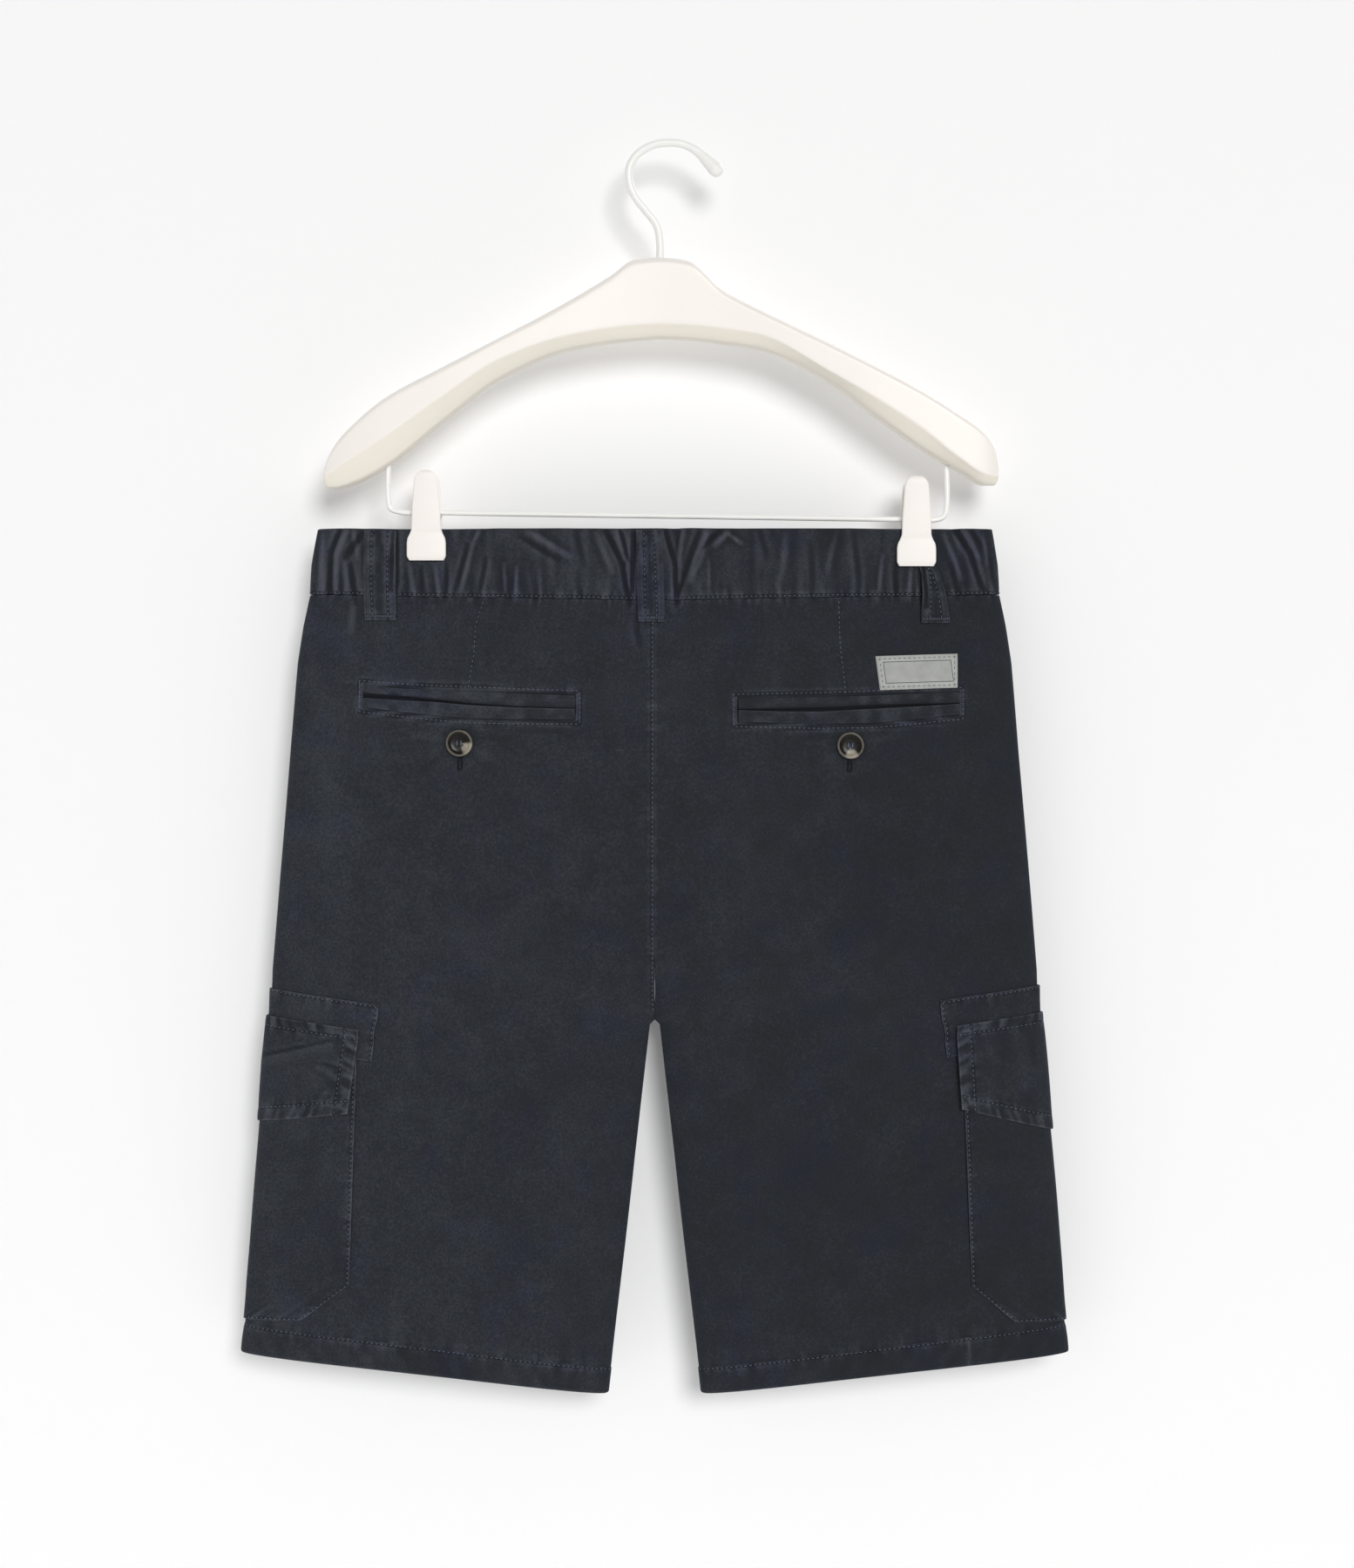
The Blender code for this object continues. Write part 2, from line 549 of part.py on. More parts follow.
# ---------------------------------------------------------------- hanger
def make_hanger_body(white):
    sections = []
    for x, top, crease, under, half in HANGER_ROWS:
        drop = top - crease
        outline = ((0, top), (0.55, top - 0.07 * drop), (0.9, top - 0.28 * drop), (1, top - 0.55 * drop),
                   (1, crease), (0.5, under))
        right = [(half * y, z) for y, z in outline]
        left = [(-y, z) for y, z in reversed(right[1:])]
        sections.append([Vector((x, y, z)) for y, z in right + left])
    body = loft("hanger_body", sections, white)
    sockets = (
        ("socket_hook", HOOK_ROUTE[0][0], HOOK_R, -79.0, -60.0),
        ("socket_bar_left", BAR_ROUTE[0][0], BAR_R, -230.0, -194.0),
        ("socket_bar_right", BAR_ROUTE[-1][0], BAR_R, -230.0, -194.0),
    )
    for name, x, radius, low, high in sockets:
        mesh = bmesh.new()
        bmesh.ops.create_cone(mesh, segments=12, radius1=radius + SOCKET_PLAY, radius2=radius + SOCKET_PLAY,
                              depth=high - low, cap_ends=True)
        bmesh.ops.translate(mesh, vec=(x, 0, (low + high) / 2), verts=mesh.verts)
        cut_with(body, put(name, mesh, white))


def make_wire(name, route, radius, white, bevel):
    """A bent wire: a smooth curve through the route's x, z and share of the radius."""
    curve = bpy.data.curves.new(name, "CURVE")
    curve.dimensions = "3D"
    curve.bevel_depth = radius * MM
    curve.bevel_resolution = bevel
    curve.use_fill_caps = True
    curve.resolution_u = 3
    spline = curve.splines.new("BEZIER")
    spline.bezier_points.add(len(route) - 1)
    for knot, (x, z, *share) in zip(spline.bezier_points, route):
        knot.co = (x * MM, 0, z * MM)
        knot.radius = share[0] if share else 1.0
        knot.handle_left_type = knot.handle_right_type = "AUTO"
    curve.materials.append(white)
    wire = bpy.data.objects.new(name, curve)
    bpy.context.scene.collection.objects.link(wire)
    wire.parent = ROOT


def make_clip(name, x, top, jaw, bar_z, white):
    for face, leaf in ((SEAT, "seat"), (FLY, "fly")):
        sections = []
        for down, half, off, thick in LEAF_ROWS:
            near, far, soft = jaw + off, jaw + off + thick, 0.22 * thick
            outline = ((-half, near), (half, near), (half, far - soft), (half - 2 * soft, far),
                       (-half + 2 * soft, far), (-half, far - soft))
            sections.append([Vector((x + a, face * b, top - down)) for a, b in outline])
        loft(f"clip_{name}_{leaf}_leaf", sections, white)
    radius, half = BARREL
    grids = []
    for r in (radius, BAR_R + SOCKET_PLAY):
        turn = [math.tau * i / 14 for i in range(14)]
        grids.append([[Vector((x + end * half, r * math.cos(a), bar_z + r * math.sin(a))) for a in turn]
                      for end in (-1, 1)])
    wall(f"clip_{name}_barrel", *grids, white, ring=True)


# ---------------------------------------------------------------- the whole
for old in list(bpy.data.objects):
    bpy.data.objects.remove(old)
ROOT = bpy.data.objects.new("shorts_on_hanger", None)
bpy.context.scene.collection.objects.link(ROOT)

navy = material("navy cotton", (0.028, 0.033, 0.042), 0.9)
grey = material("grey label weave", (0.40, 0.42, 0.40), 0.85)
horn = material("dark horn", (0.018, 0.015, 0.012), 0.3)
white = material("warm white lacquer", (0.88, 0.86, 0.82), 0.45)

make_legs(navy)
make_waistband(navy)
make_hems(navy)
make_loops(navy)
make_welts(navy)
make_label(grey)
make_fly(navy)
make_cargo(navy)
for side_name, (x, z) in POCKET_BUTTONS.items():
    make_button(f"button_pocket_{side_name}", x, z, SEAT, BUTTON_OFF, horn)
make_button("button_waist", *WAIST_BUTTON, FLY, BUTTON_OFF, horn)
make_hanger_body(white)
make_wire("hanger_hook", HOOK_ROUTE, HOOK_R, white, 3)
make_wire("hanger_bar", BAR_ROUTE, BAR_R, white, 2)
for name, (x, top, jaw, bar_z) in CLIPS.items():
    make_clip(name, x, top, jaw, bar_z, white)
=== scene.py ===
# %% [markdown]
# # Cargo shorts on a clip hanger
# The real object is a pair of washed navy cotton shorts, cut from flat panels and sewn up,
# hung by the waistband from a moulded hanger with a wire bar and two clips. Cloth is thin and
# follows one long curved form, so this lesson first writes that form down as a function, a
# "shell", and then lays every panel, band and pocket on it as a fine grid of points.
# Numbers in the tables are millimetres; the scene itself is in metres.

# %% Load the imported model
import math

import bmesh
import bpy
import numpy as np
from mathutils import Matrix, Vector


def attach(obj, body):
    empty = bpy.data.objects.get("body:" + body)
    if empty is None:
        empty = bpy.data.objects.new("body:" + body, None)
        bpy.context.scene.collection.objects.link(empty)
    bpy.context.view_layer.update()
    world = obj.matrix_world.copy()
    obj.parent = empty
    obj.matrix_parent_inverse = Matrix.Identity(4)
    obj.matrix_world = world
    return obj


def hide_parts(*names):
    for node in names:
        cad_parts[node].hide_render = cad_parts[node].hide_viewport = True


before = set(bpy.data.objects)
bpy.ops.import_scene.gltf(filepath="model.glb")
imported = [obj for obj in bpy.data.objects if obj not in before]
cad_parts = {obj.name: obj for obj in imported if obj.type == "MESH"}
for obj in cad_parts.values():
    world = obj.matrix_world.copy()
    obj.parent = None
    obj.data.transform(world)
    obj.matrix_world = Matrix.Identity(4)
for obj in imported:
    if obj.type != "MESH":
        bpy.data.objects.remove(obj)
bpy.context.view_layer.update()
MM = 0.001
SEAT, FLY = -1, 1
LEFT, RIGHT = -1, 1

# %% [markdown]
# ## Camera
# The shorts are seen straight on, from a little under two metres. A level camera with a long
# lens keeps upright edges upright. It comes first, because everything else is judged through it.

# %% Camera
VIEW_HEIGHT, VIEW_RANGE, FILM_HEIGHT = 0.981, 1.85, 24.0
VIEW_MIDDLE = (0.0049, -0.3989)

camera_data = bpy.data.cameras.new("camera")
camera_data.sensor_fit = "VERTICAL"
camera_data.sensor_height = FILM_HEIGHT
camera_data.lens = FILM_HEIGHT * VIEW_RANGE / VIEW_HEIGHT
camera = bpy.data.objects.new("camera", camera_data)
camera.location = (VIEW_MIDDLE[0], -VIEW_RANGE, VIEW_MIDDLE[1])
camera.rotation_euler = (math.pi / 2, 0, 0)
scene = bpy.context.scene
scene.collection.objects.link(camera)
scene.camera = camera
scene.view_settings.view_transform = "Standard"
print("lens", round(camera_data.lens, 1), "mm")

# %% [markdown]
# ## Short words for nodes
# Light, finishes and stitches are all made of nodes. A small class places and joins them, so that
# what follows reads as what each tree does.

# %% Short words for nodes
class Wiring:
    """Short words for placing and joining nodes in one tree."""

    def __init__(self, tree):
        self.tree, self.links = tree, tree.links

    def node(self, kind, **settings):
        made = self.tree.nodes.new(kind)
        for key, value in settings.items():
            if hasattr(made, key):
                setattr(made, key, value)
            else:
                self.feed(made.inputs[key.replace("_", " ")], value)
        return made

    def feed(self, socket, value):
        if isinstance(value, bpy.types.NodeSocket):
            self.links.new(value, socket)
        else:
            socket.default_value = value

    def math(self, operation, a, b=0.0, clamp=False):
        made = self.tree.nodes.new("ShaderNodeMath")
        made.operation, made.use_clamp = operation, clamp
        self.feed(made.inputs[0], a)
        self.feed(made.inputs[1], b)
        return made.outputs[0]

    def mix(self, share, a, b):
        made = self.tree.nodes.new("ShaderNodeMix")
        made.data_type = "RGBA"
        for socket, value in ((made.inputs[0], share), (made.inputs[6], a), (made.inputs[7], b)):
            self.feed(socket, value)
        return made.outputs[2]

    def tinted(self, share, colour, tint):
        """The colour, multiplied by a tint as far as the share goes."""
        made = self.node("ShaderNodeMix", data_type="RGBA", blend_type="MULTIPLY")
        for socket, value in ((made.inputs[0], share), (made.inputs[6], colour), (made.inputs[7], tint)):
            self.feed(socket, value)
        return made.outputs[2]

    def noise(self, place, scale, detail=2.0, rough=0.5):
        made = self.node("ShaderNodeTexNoise", Scale=scale, Detail=detail, Roughness=rough)
        self.links.new(place, made.inputs["Vector"])
        return made.outputs["Fac"]

    def wave(self, place, bands, scale, distortion):
        made = self.node("ShaderNodeTexWave", bands_direction=bands, Scale=scale, Distortion=distortion)
        self.links.new(place, made.inputs["Vector"])
        return made.outputs["Fac"]

    def bump(self, height, strength, distance):
        made = self.node("ShaderNodeBump", Strength=strength, Distance=distance)
        self.links.new(height, made.inputs["Height"])
        return made.outputs[0]


def new_socket(group, name, kind, out=False, value=None):
    socket = group.interface.new_socket(name, in_out="OUTPUT" if out else "INPUT", socket_type=kind)
    if value is not None:
        socket.default_value = value
    return socket


print("node words ready")

# %% [markdown]
# ## Light, wall and floor
# A studio wall hangs close behind the shorts, so their soft shadow falls on it, down and to the
# left. A wall lit only by lamps is hard to keep even, so part of its brightness is its own glow
# and the lamps add the rest. Its back is see-through, which keeps rear views open.

# %% Light, wall and floor
WALL_Y, FLOOR_Z, STAGE_HALF = 0.040, -1.35, 4.0
KEY_STRENGTH, KEY_SIZE, KEY_SIDE, KEY_UP = 1.85, 22.0, 13.0, 15.0
SKY_LIGHT, PALE = 0.24, 0.94


def new_lamp(name, strength, size, side, up, behind=False):
    """A broad far lamp, side degrees to the right and up degrees above the line of sight."""
    lamp = bpy.data.lights.new(name, "SUN")
    lamp.energy = strength
    lamp.angle = math.radians(size)
    holder = bpy.data.objects.new(name, lamp)
    turn = math.radians(side) if not behind else math.pi - math.radians(side)
    holder.rotation_euler = (math.pi / 2 - math.radians(up), 0, turn)
    scene.collection.objects.link(holder)
    return holder


new_lamp("key", KEY_STRENGTH, KEY_SIZE, KEY_SIDE, KEY_UP)
new_lamp("fill left", 0.18, 50.0, -40.0, 10.0)
new_lamp("rear", 1.35, 30.0, 30.0, 25.0, behind=True)
new_lamp("rear low", 0.7, 50.0, -40.0, 5.0, behind=True)

world = bpy.data.worlds.new("studio")
world.use_nodes = True
world.node_tree.nodes.clear()
w = Wiring(world.node_tree)
lit = w.node("ShaderNodeBackground", Color=(1.0, 0.995, 0.985, 1), Strength=SKY_LIGHT)
seen = w.node("ShaderNodeBackground", Color=(PALE, PALE, PALE, 1))
pick = w.node("ShaderNodeMixShader", Fac=w.node("ShaderNodeLightPath").outputs["Is Camera Ray"])
w.feed(pick.inputs[1], lit.outputs[0])
w.feed(pick.inputs[2], seen.outputs[0])
w.node("ShaderNodeOutputWorld", Surface=pick.outputs[0])
scene.world = world


def new_stage_material(name, glow, colour):
    """Matt paint that glows a little and can't be seen or felt from behind."""
    made = bpy.data.materials.new(name)
    made.use_nodes = True
    made.node_tree.nodes.clear()
    w = Wiring(made.node_tree)
    paint = w.node("ShaderNodeBsdfDiffuse", Color=(colour, colour, colour, 1))
    both, hidden = w.node("ShaderNodeAddShader"), w.node("ShaderNodeMixShader")
    w.feed(both.inputs[0], paint.outputs[0])
    w.feed(both.inputs[1], w.node("ShaderNodeEmission", Strength=glow).outputs[0])
    behind = w.node("ShaderNodeNewGeometry").outputs["Backfacing"]
    shadow = w.node("ShaderNodeLightPath").outputs["Is Shadow Ray"]
    w.feed(hidden.inputs["Fac"], w.math("MAXIMUM", behind, shadow))
    w.feed(hidden.inputs[1], both.outputs[0])
    w.feed(hidden.inputs[2], w.node("ShaderNodeBsdfTransparent").outputs[0])
    w.node("ShaderNodeOutputMaterial", Surface=hidden.outputs[0])
    return made


def new_plane(name, corners, material):
    """One flat face that faces the side from which its corners run anticlockwise."""
    mesh = bpy.data.meshes.new(name)
    mesh.from_pydata(corners, [], [(0, 1, 2, 3)])
    mesh.materials.append(material)
    plane = bpy.data.objects.new(name, mesh)
    scene.collection.objects.link(plane)
    return plane


wall_paint = new_stage_material("wall paint", 0.11, 0.82)
floor_paint = new_stage_material("floor paint", 0.30, 0.60)
wide, low, high, near = STAGE_HALF, FLOOR_Z, 2.5, -STAGE_HALF
backdrop = new_plane("backdrop", [(-wide, WALL_Y, low), (wide, WALL_Y, low), (wide, WALL_Y, high),
                                  (-wide, WALL_Y, high)], wall_paint)
floor = new_plane("floor", [(-wide, near, low), (wide, near, low), (wide, -near, low),
                            (-wide, -near, low)], floor_paint)
print("wall", WALL_Y, "behind the hook, floor at", FLOOR_Z)

# %% [markdown]
# ## The shell
# Worn or hung, shorts are a flattened tube that forks into two legs. One function gives any
# place on that tube from x, measured over the cloth from the centre line, and a height z. It
# reads the outline and the inner leg from tables, rounds the side folds, draws seat and fly
# together at the crotch and under the clips, and adds the largest gathers.

# %% The shell's tables
CENTRE_X = -9.0
GAP = 0.3
TURN = 5.0
OUTLINE = np.array((  # height, half width, half depth
    (-239.5, 211.0, 7.6), (-262.0, 214.3, 8.0), (-281.0, 215.5, 8.4), (-300.0, 219.5, 9.4),
    (-323.0, 223.0, 10.5), (-400.0, 229.4, 12.0), (-515.0, 239.0, 12.0), (-540.0, 239.8, 12.0),
    (-735.0, 256.1, 12.0), (-745.0, 257.6, 12.0), (-754.5, 258.6, 12.0), (-790.0, 261.5, 12.0)))
INNER_LEG = np.array((  # height, half the gap between the legs
    (-239.0, 0.02), (-546.0, 0.02), (-549.0, 3.1), (-790.0, 30.3)))
CROTCH_Z, CLOSING = -546.0, 42.0
PINCHES, PINCH_FLAT, PINCH_REACH = (-142.5, 163.2), 13.5, 46.0
PINCH_Z, PINCH_FADE_Z, PINCH_DEPTH = -265.0, -330.0, 2.5
FOLDS = (  # face, x, top, foot, height, half width, lean to the right going down
    (SEAT, -196.0, -239.0, -296.0, 2.0, 7.0, -6.0), (SEAT, -184.5, -239.0, -300.0, -1.6, 5.0, -3.0),
    (SEAT, -104.0, -245.0, -288.0, -1.2, 7.0, 10.0), (SEAT, -62.0, -239.0, -286.0, 1.2, 10.0, 8.0),
    (SEAT, -22.0, -239.0, -300.0, -2.0, 6.0, 4.0), (SEAT, 13.0, -239.0, -305.0, -2.4, 5.0, 3.0),
    (SEAT, 24.0, -239.0, -300.0, 2.0, 6.0, -5.0), (SEAT, 52.0, -245.0, -290.0, -1.2, 8.0, -9.0),
    (SEAT, 187.0, -239.0, -300.0, -1.8, 5.0, 9.0), (SEAT, 197.0, -239.0, -296.0, 1.8, 6.0, 9.0),
    (FLY, -190.0, -239.0, -296.0, 1.5, 7.0, -4.0), (FLY, 190.0, -239.0, -296.0, 1.5, 7.0, 4.0))
LEVELS = {  # height at the centre or inner leg, and at the side fold
    "waist top": (-239.5, -239.5), "band foot": (-284.3, -280.5), "panel head": (-284.6, -280.8),
    "crotch": (-546.0, -537.0), "panel foot": (-764.6, -736.9), "hem head": (-763.0, -735.3),
    "hem foot": (-779.5, -753.7)}


# %% The shell as a function
def read(table, height, column):
    """The table's column at these heights."""
    return np.interp(-height, -table[:, 0], table[:, column])


def ease(value, start, end):
    """0 at start, 1 at end, level at both."""
    share = np.clip((value - start) / (end - start), 0.0, 1.0)
    return share * share * (3 - 2 * share)


def turned(share):
    """How much of the depth is left on the way from the middle of a leg to a fold."""
    return np.sqrt(1 - np.clip(share, 0.0, 1.0) ** TURN)


def folds(x, z, face):
    """How far the largest gathers move the cloth out."""
    moved = np.zeros(np.shape(x))
    for on, middle, top, foot, height, half, lean in FOLDS:
        down = (top - z) / (top - foot)
        off = (x - middle - lean * down) / half
        near_rows = (face == on) & (z > foot - 8) & (z < top + 8)
        moved += near_rows * height * np.exp(-off * off) * (1 - ease(down, 0.55, 1.05))
    return moved


def shell(x, z, face, out):
    """Places on the shell, out mm outside it, at x over the cloth from the centre line."""
    x, z, face, out = np.broadcast_arrays(x, z, face, out)
    start, end = read(INNER_LEG, z, 1), read(OUTLINE, z, 1)
    share = np.clip((np.abs(x) - start) / (end - start), 0.0, 1.0)
    closed = ease(-z, -(CROTCH_Z + CLOSING), -CROTCH_Z)
    depth = read(OUTLINE, z, 2)
    for middle in PINCHES:
        pinch = (1 - ease(np.abs(x - middle), PINCH_FLAT, PINCH_REACH)) * ease(z, PINCH_FADE_Z, PINCH_Z)
        depth = depth + (PINCH_DEPTH - depth) * pinch
    side, inner = turned(2 * share - 1), 1 - closed * (1 - turned(1 - 2 * share))
    free = np.minimum(1.0, 3 * (depth - PINCH_DEPTH) / depth)
    y = GAP / 4 + (depth + out) * side * inner + folds(x, z, face) * side * free
    reach = np.abs(x) + out * (share - closed * (1 - share))
    return np.stack([CENTRE_X + np.copysign(reach, x), face * y, z], axis=-1)


def laid(x, z, face, out, lift=0.0):
    """Places on the shell moved lift mm along its own normal, and those normals."""
    step = 0.02
    across = shell(x + step, z, face, out) - shell(x - step, z, face, out)
    upward = shell(x, z + step, face, out) - shell(x, z - step, face, out)
    normal = np.cross(across, upward) * -np.asarray(face)[..., None]
    normal /= np.linalg.norm(normal, axis=-1, keepdims=True)
    return shell(x, z, face, out) + normal * np.asarray(lift)[..., None], normal


print("half width at the hem", read(OUTLINE, np.array(-754.5), 1))

# %% [markdown]
# ## Creases and puckers
# Washed cotton is never flat. Three things move it: broad slow waves, creases that each have a
# place, a length and a depth of their own, and the small puckers that a row of stitches draws up
# beside it. Creases come from a table. Puckers come from a smooth random function that is
# stretched along one direction, always from the same seeds.

# %% Creases and puckers
CREASES = (  # face, from x, z, to x, z, half width, height
    (SEAT, -196.2, -240.0, -201.5, -254.0, 1.9, -1.7), (SEAT, -201.5, -254.0, -203.2, -281.0, 1.9, -1.7),
    (SEAT, -191.5, -240.0, -198.0, -256.0, 2.2, 1.3), (SEAT, -198.0, -256.0, -199.0, -279.0, 2.4, 1.0),
    (SEAT, -183.0, -243.0, -192.0, -257.0, 2.4, -1.9), (SEAT, -189.5, -262.0, -186.5, -286.0, 2.0, -1.3),
    (SEAT, -185.0, -258.0, -188.0, -240.0, 1.8, 0.9), (SEAT, -193.5, -262.0, -192.0, -281.0, 2.2, 0.9),
    (SEAT, -206.5, -244.0, -208.5, -276.0, 2.2, 0.9), (SEAT, -161.0, -240.0, -161.5, -278.0, 1.6, -1.0),
    (SEAT, -153.0, -262.0, -151.0, -282.0, 1.8, 0.8), (SEAT, -146.0, -264.0, -145.0, -282.0, 1.4, -0.8),
    (SEAT, -137.0, -262.0, -135.0, -282.0, 1.7, 0.8), (SEAT, -130.0, -262.0, -130.5, -283.0, 1.5, -0.9),
    (SEAT, -109.5, -240.0, -113.5, -250.0, 1.8, 0.9), (SEAT, -113.5, -250.0, -121.5, -281.0, 1.9, 0.9),
    (SEAT, -117.0, -250.0, -125.5, -281.0, 1.6, -0.8), (SEAT, -105.0, -258.0, -110.0, -283.0, 1.5, -0.7),
    (SEAT, -79.2, -241.0, -54.0, -257.0, 2.6, 1.2), (SEAT, -83.0, -245.0, -60.0, -259.5, 2.0, -0.8),
    (SEAT, -94.0, -262.0, -92.5, -284.0, 1.5, 0.8), (SEAT, -86.0, -264.0, -86.5, -284.0, 1.5, 0.7),
    (SEAT, -72.0, -266.0, -71.0, -285.0, 2.2, 0.5), (SEAT, -50.0, -240.0, -44.0, -262.0, 2.4, -0.6),
    (SEAT, -30.7, -240.0, -20.0, -262.0, 1.8, -1.9), (SEAT, -20.0, -262.0, -15.8, -287.0, 1.8, -1.8),
    (SEAT, -36.0, -243.0, -27.0, -266.0, 2.6, 1.1), (SEAT, -21.6, -240.0, -16.5, -260.0, 1.5, -1.2),
    (SEAT, -25.0, -240.0, -20.0, -254.0, 1.6, 0.9), (SEAT, -17.0, -266.0, -12.0, -301.0, 2.0, 0.9),
    (SEAT, -13.0, -243.0, -14.8, -286.0, 1.7, -2.0), (SEAT, -14.6, -286.0, -9.0, -312.0, 2.2, -1.0),
    (SEAT, 6.8, -241.0, 12.7, -262.0, 1.6, -1.6), (SEAT, 12.7, -262.0, 13.6, -286.0, 1.7, -2.0),
    (SEAT, 27.7, -241.0, 18.5, -268.0, 1.8, -1.4), (SEAT, 18.5, -268.0, 13.8, -283.0, 1.8, -1.2),
    (SEAT, 18.5, -240.0, 15.5, -262.0, 2.0, 1.6), (SEAT, 33.0, -241.0, 22.0, -272.0, 2.6, 1.5),
    (SEAT, 41.0, -240.0, 29.4, -252.0, 1.8, -1.3), (SEAT, 29.4, -252.0, 24.4, -264.0, 1.6, -0.8),
    (SEAT, 47.0, -240.5, 38.0, -250.0, 2.2, 1.1), (SEAT, 33.6, -258.0, 33.8, -284.0, 1.3, 0.5),
    (SEAT, 44.0, -242.0, 54.0, -249.0, 1.6, 0.8), (SEAT, 66.0, -241.0, 70.0, -258.0, 2.4, -0.7),
    (SEAT, 82.0, -241.0, 79.0, -270.0, 3.0, 0.8), (SEAT, 97.0, -250.0, 99.0, -283.0, 2.4, -0.7),
    (SEAT, 113.0, -241.0, 108.0, -266.0, 2.4, 0.8), (SEAT, 124.0, -243.0, 128.0, -279.0, 2.2, -0.8),
    (SEAT, 142.0, -256.0, 139.0, -283.0, 1.8, 0.8), (SEAT, 150.0, -262.0, 151.0, -285.0, 1.6, -0.9),
    (SEAT, 160.0, -262.0, 158.5, -284.0, 1.8, 0.8), (SEAT, 166.0, -258.0, 167.0, -288.0, 1.6, -1.4),
    (SEAT, 187.4, -240.0, 196.6, -255.0, 1.8, -1.9), (SEAT, 196.6, -255.0, 204.1, -277.0, 1.8, -1.8),
    (SEAT, 181.0, -244.0, 191.0, -270.0, 2.4, 1.2), (SEAT, 192.5, -240.0, 202.0, -258.0, 1.9, 1.2),
    (SEAT, 197.5, -240.0, 203.0, -250.0, 1.4, -1.2), (SEAT, 205.0, -243.0, 207.0, -262.0, 1.7, 0.9),
    (SEAT, 209.5, -258.0, 212.0, -276.0, 1.8, -0.9), (SEAT, 185.0, -262.0, 190.0, -283.0, 1.6, -0.8),
    # the yoke, round the buttons and over the seat
    (SEAT, -187.5, -286.0, -189.0, -304.0, 2.6, 0.8), (SEAT, -190.5, -288.0, -188.5, -330.0, 9.0, 0.9),
    (SEAT, -82.0, -366.5, -56.0, -365.5, 2.6, -0.22), (SEAT, -114.0, -375.0, -96.0, -386.0, 3.2, 0.22),
    (SEAT, -116.0, -379.0, -101.0, -394.0, 3.0, -0.18), (SEAT, -131.0, -371.0, -154.0, -367.0, 3.0, 0.25),
    (SEAT, -129.0, -379.0, -146.0, -392.0, 3.2, -0.2), (SEAT, -110.0, -369.0, -92.0, -371.0, 2.4, -0.25),
    (SEAT, 113.0, -369.0, 92.0, -370.0, 2.4, -0.25), (SEAT, 114.0, -379.0, 98.0, -392.0, 3.2, 0.18),
    (SEAT, 131.0, -372.0, 152.0, -369.0, 2.8, 0.2), (SEAT, 131.0, -380.0, 149.0, -394.0, 3.2, -0.2),
    (SEAT, -205.0, -345.0, -200.0, -470.0, 12.0, 0.8), (SEAT, 197.0, -300.0, 206.0, -345.0, 9.0, 0.8),
    (SEAT, -60.0, -520.0, -150.0, -470.0, 16.0, 0.7), (SEAT, 50.0, -540.0, 160.0, -500.0, 18.0, 0.7),
    (SEAT, -40.0, -560.0, -130.0, -640.0, 15.0, -0.6), (SEAT, 60.0, -600.0, 150.0, -680.0, 16.0, -0.6),
    (SEAT, 96.0, -330.0, 104.0, -342.0, 2.2, 0.12),
    # the fly side
    (FLY, -176.0, -240.0, -183.0, -290.0, 2.4, -1.5), (FLY, -160.0, -244.0, -152.0, -284.0, 2.6, 1.0),
    (FLY, -128.0, -241.0, -133.0, -280.0, 2.2, -0.9), (FLY, -82.0, -246.0, -76.0, -283.0, 3.0, 0.7),
    (FLY, -58.0, -241.0, -63.0, -270.0, 2.4, -0.6), (FLY, 62.0, -243.0, 57.0, -281.0, 2.6, 0.7),
    (FLY, 88.0, -241.0, 93.0, -270.0, 2.4, -0.8), (FLY, 132.0, -250.0, 128.0, -284.0, 2.2, 0.8),
    (FLY, 181.0, -240.0, 188.0, -288.0, 2.4, -1.6), (FLY, 198.0, -244.0, 203.0, -279.0, 2.4, 1.1),
    (FLY, -30.0, -470.0, -150.0, -420.0, 12.0, 0.9), (FLY, 24.0, -500.0, 130.0, -440.0, 13.0, 0.9),
    (FLY, -24.0, -532.0, -110.0, -560.0, 9.0, -0.8), (FLY, 22.0, -536.0, 120.0, -575.0, 10.0, -0.8),
    (FLY, -60.0, -300.0, -80.0, -420.0, 14.0, 0.8), (FLY, 70.0, -310.0, 95.0, -430.0, 15.0, 0.8))
SWELL, SWELL_SIZE = 0.55, 70.0
print(len(CREASES), "creases")


# %% Waves, creases and puckers as functions
def wander(u, v, seed):
    """Smooth random values from -1 to 1, one unit apart."""
    size = 97
    table = np.random.default_rng(seed).uniform(-1, 1, (size, size))
    i, j = np.floor(u).astype(int), np.floor(v).astype(int)
    a, b = u - i, v - j
    a, b = a * a * (3 - 2 * a), b * b * (3 - 2 * b)
    top = table[i % size, j % size] * (1 - a) + table[(i + 1) % size, j % size] * a
    foot = table[i % size, (j + 1) % size] * (1 - a) + table[(i + 1) % size, (j + 1) % size] * a
    return top * (1 - b) + foot * b


def beside(x, z, line):
    """Distance from a line of places, and how far along it that is."""
    best, run, travelled = np.full(np.shape(x), 1e6), np.zeros(np.shape(x)), 0.0
    for (ax, az), (bx, bz) in zip(line, line[1:]):
        length = math.hypot(bx - ax, bz - az)
        share = np.clip(((x - ax) * (bx - ax) + (z - az) * (bz - az)) / length ** 2, 0, 1)
        away = np.hypot(x - ax - share * (bx - ax), z - az - share * (bz - az))
        run = np.where(away < best, travelled + share * length, run)
        best = np.minimum(away, best)
        travelled += length
    return best, run


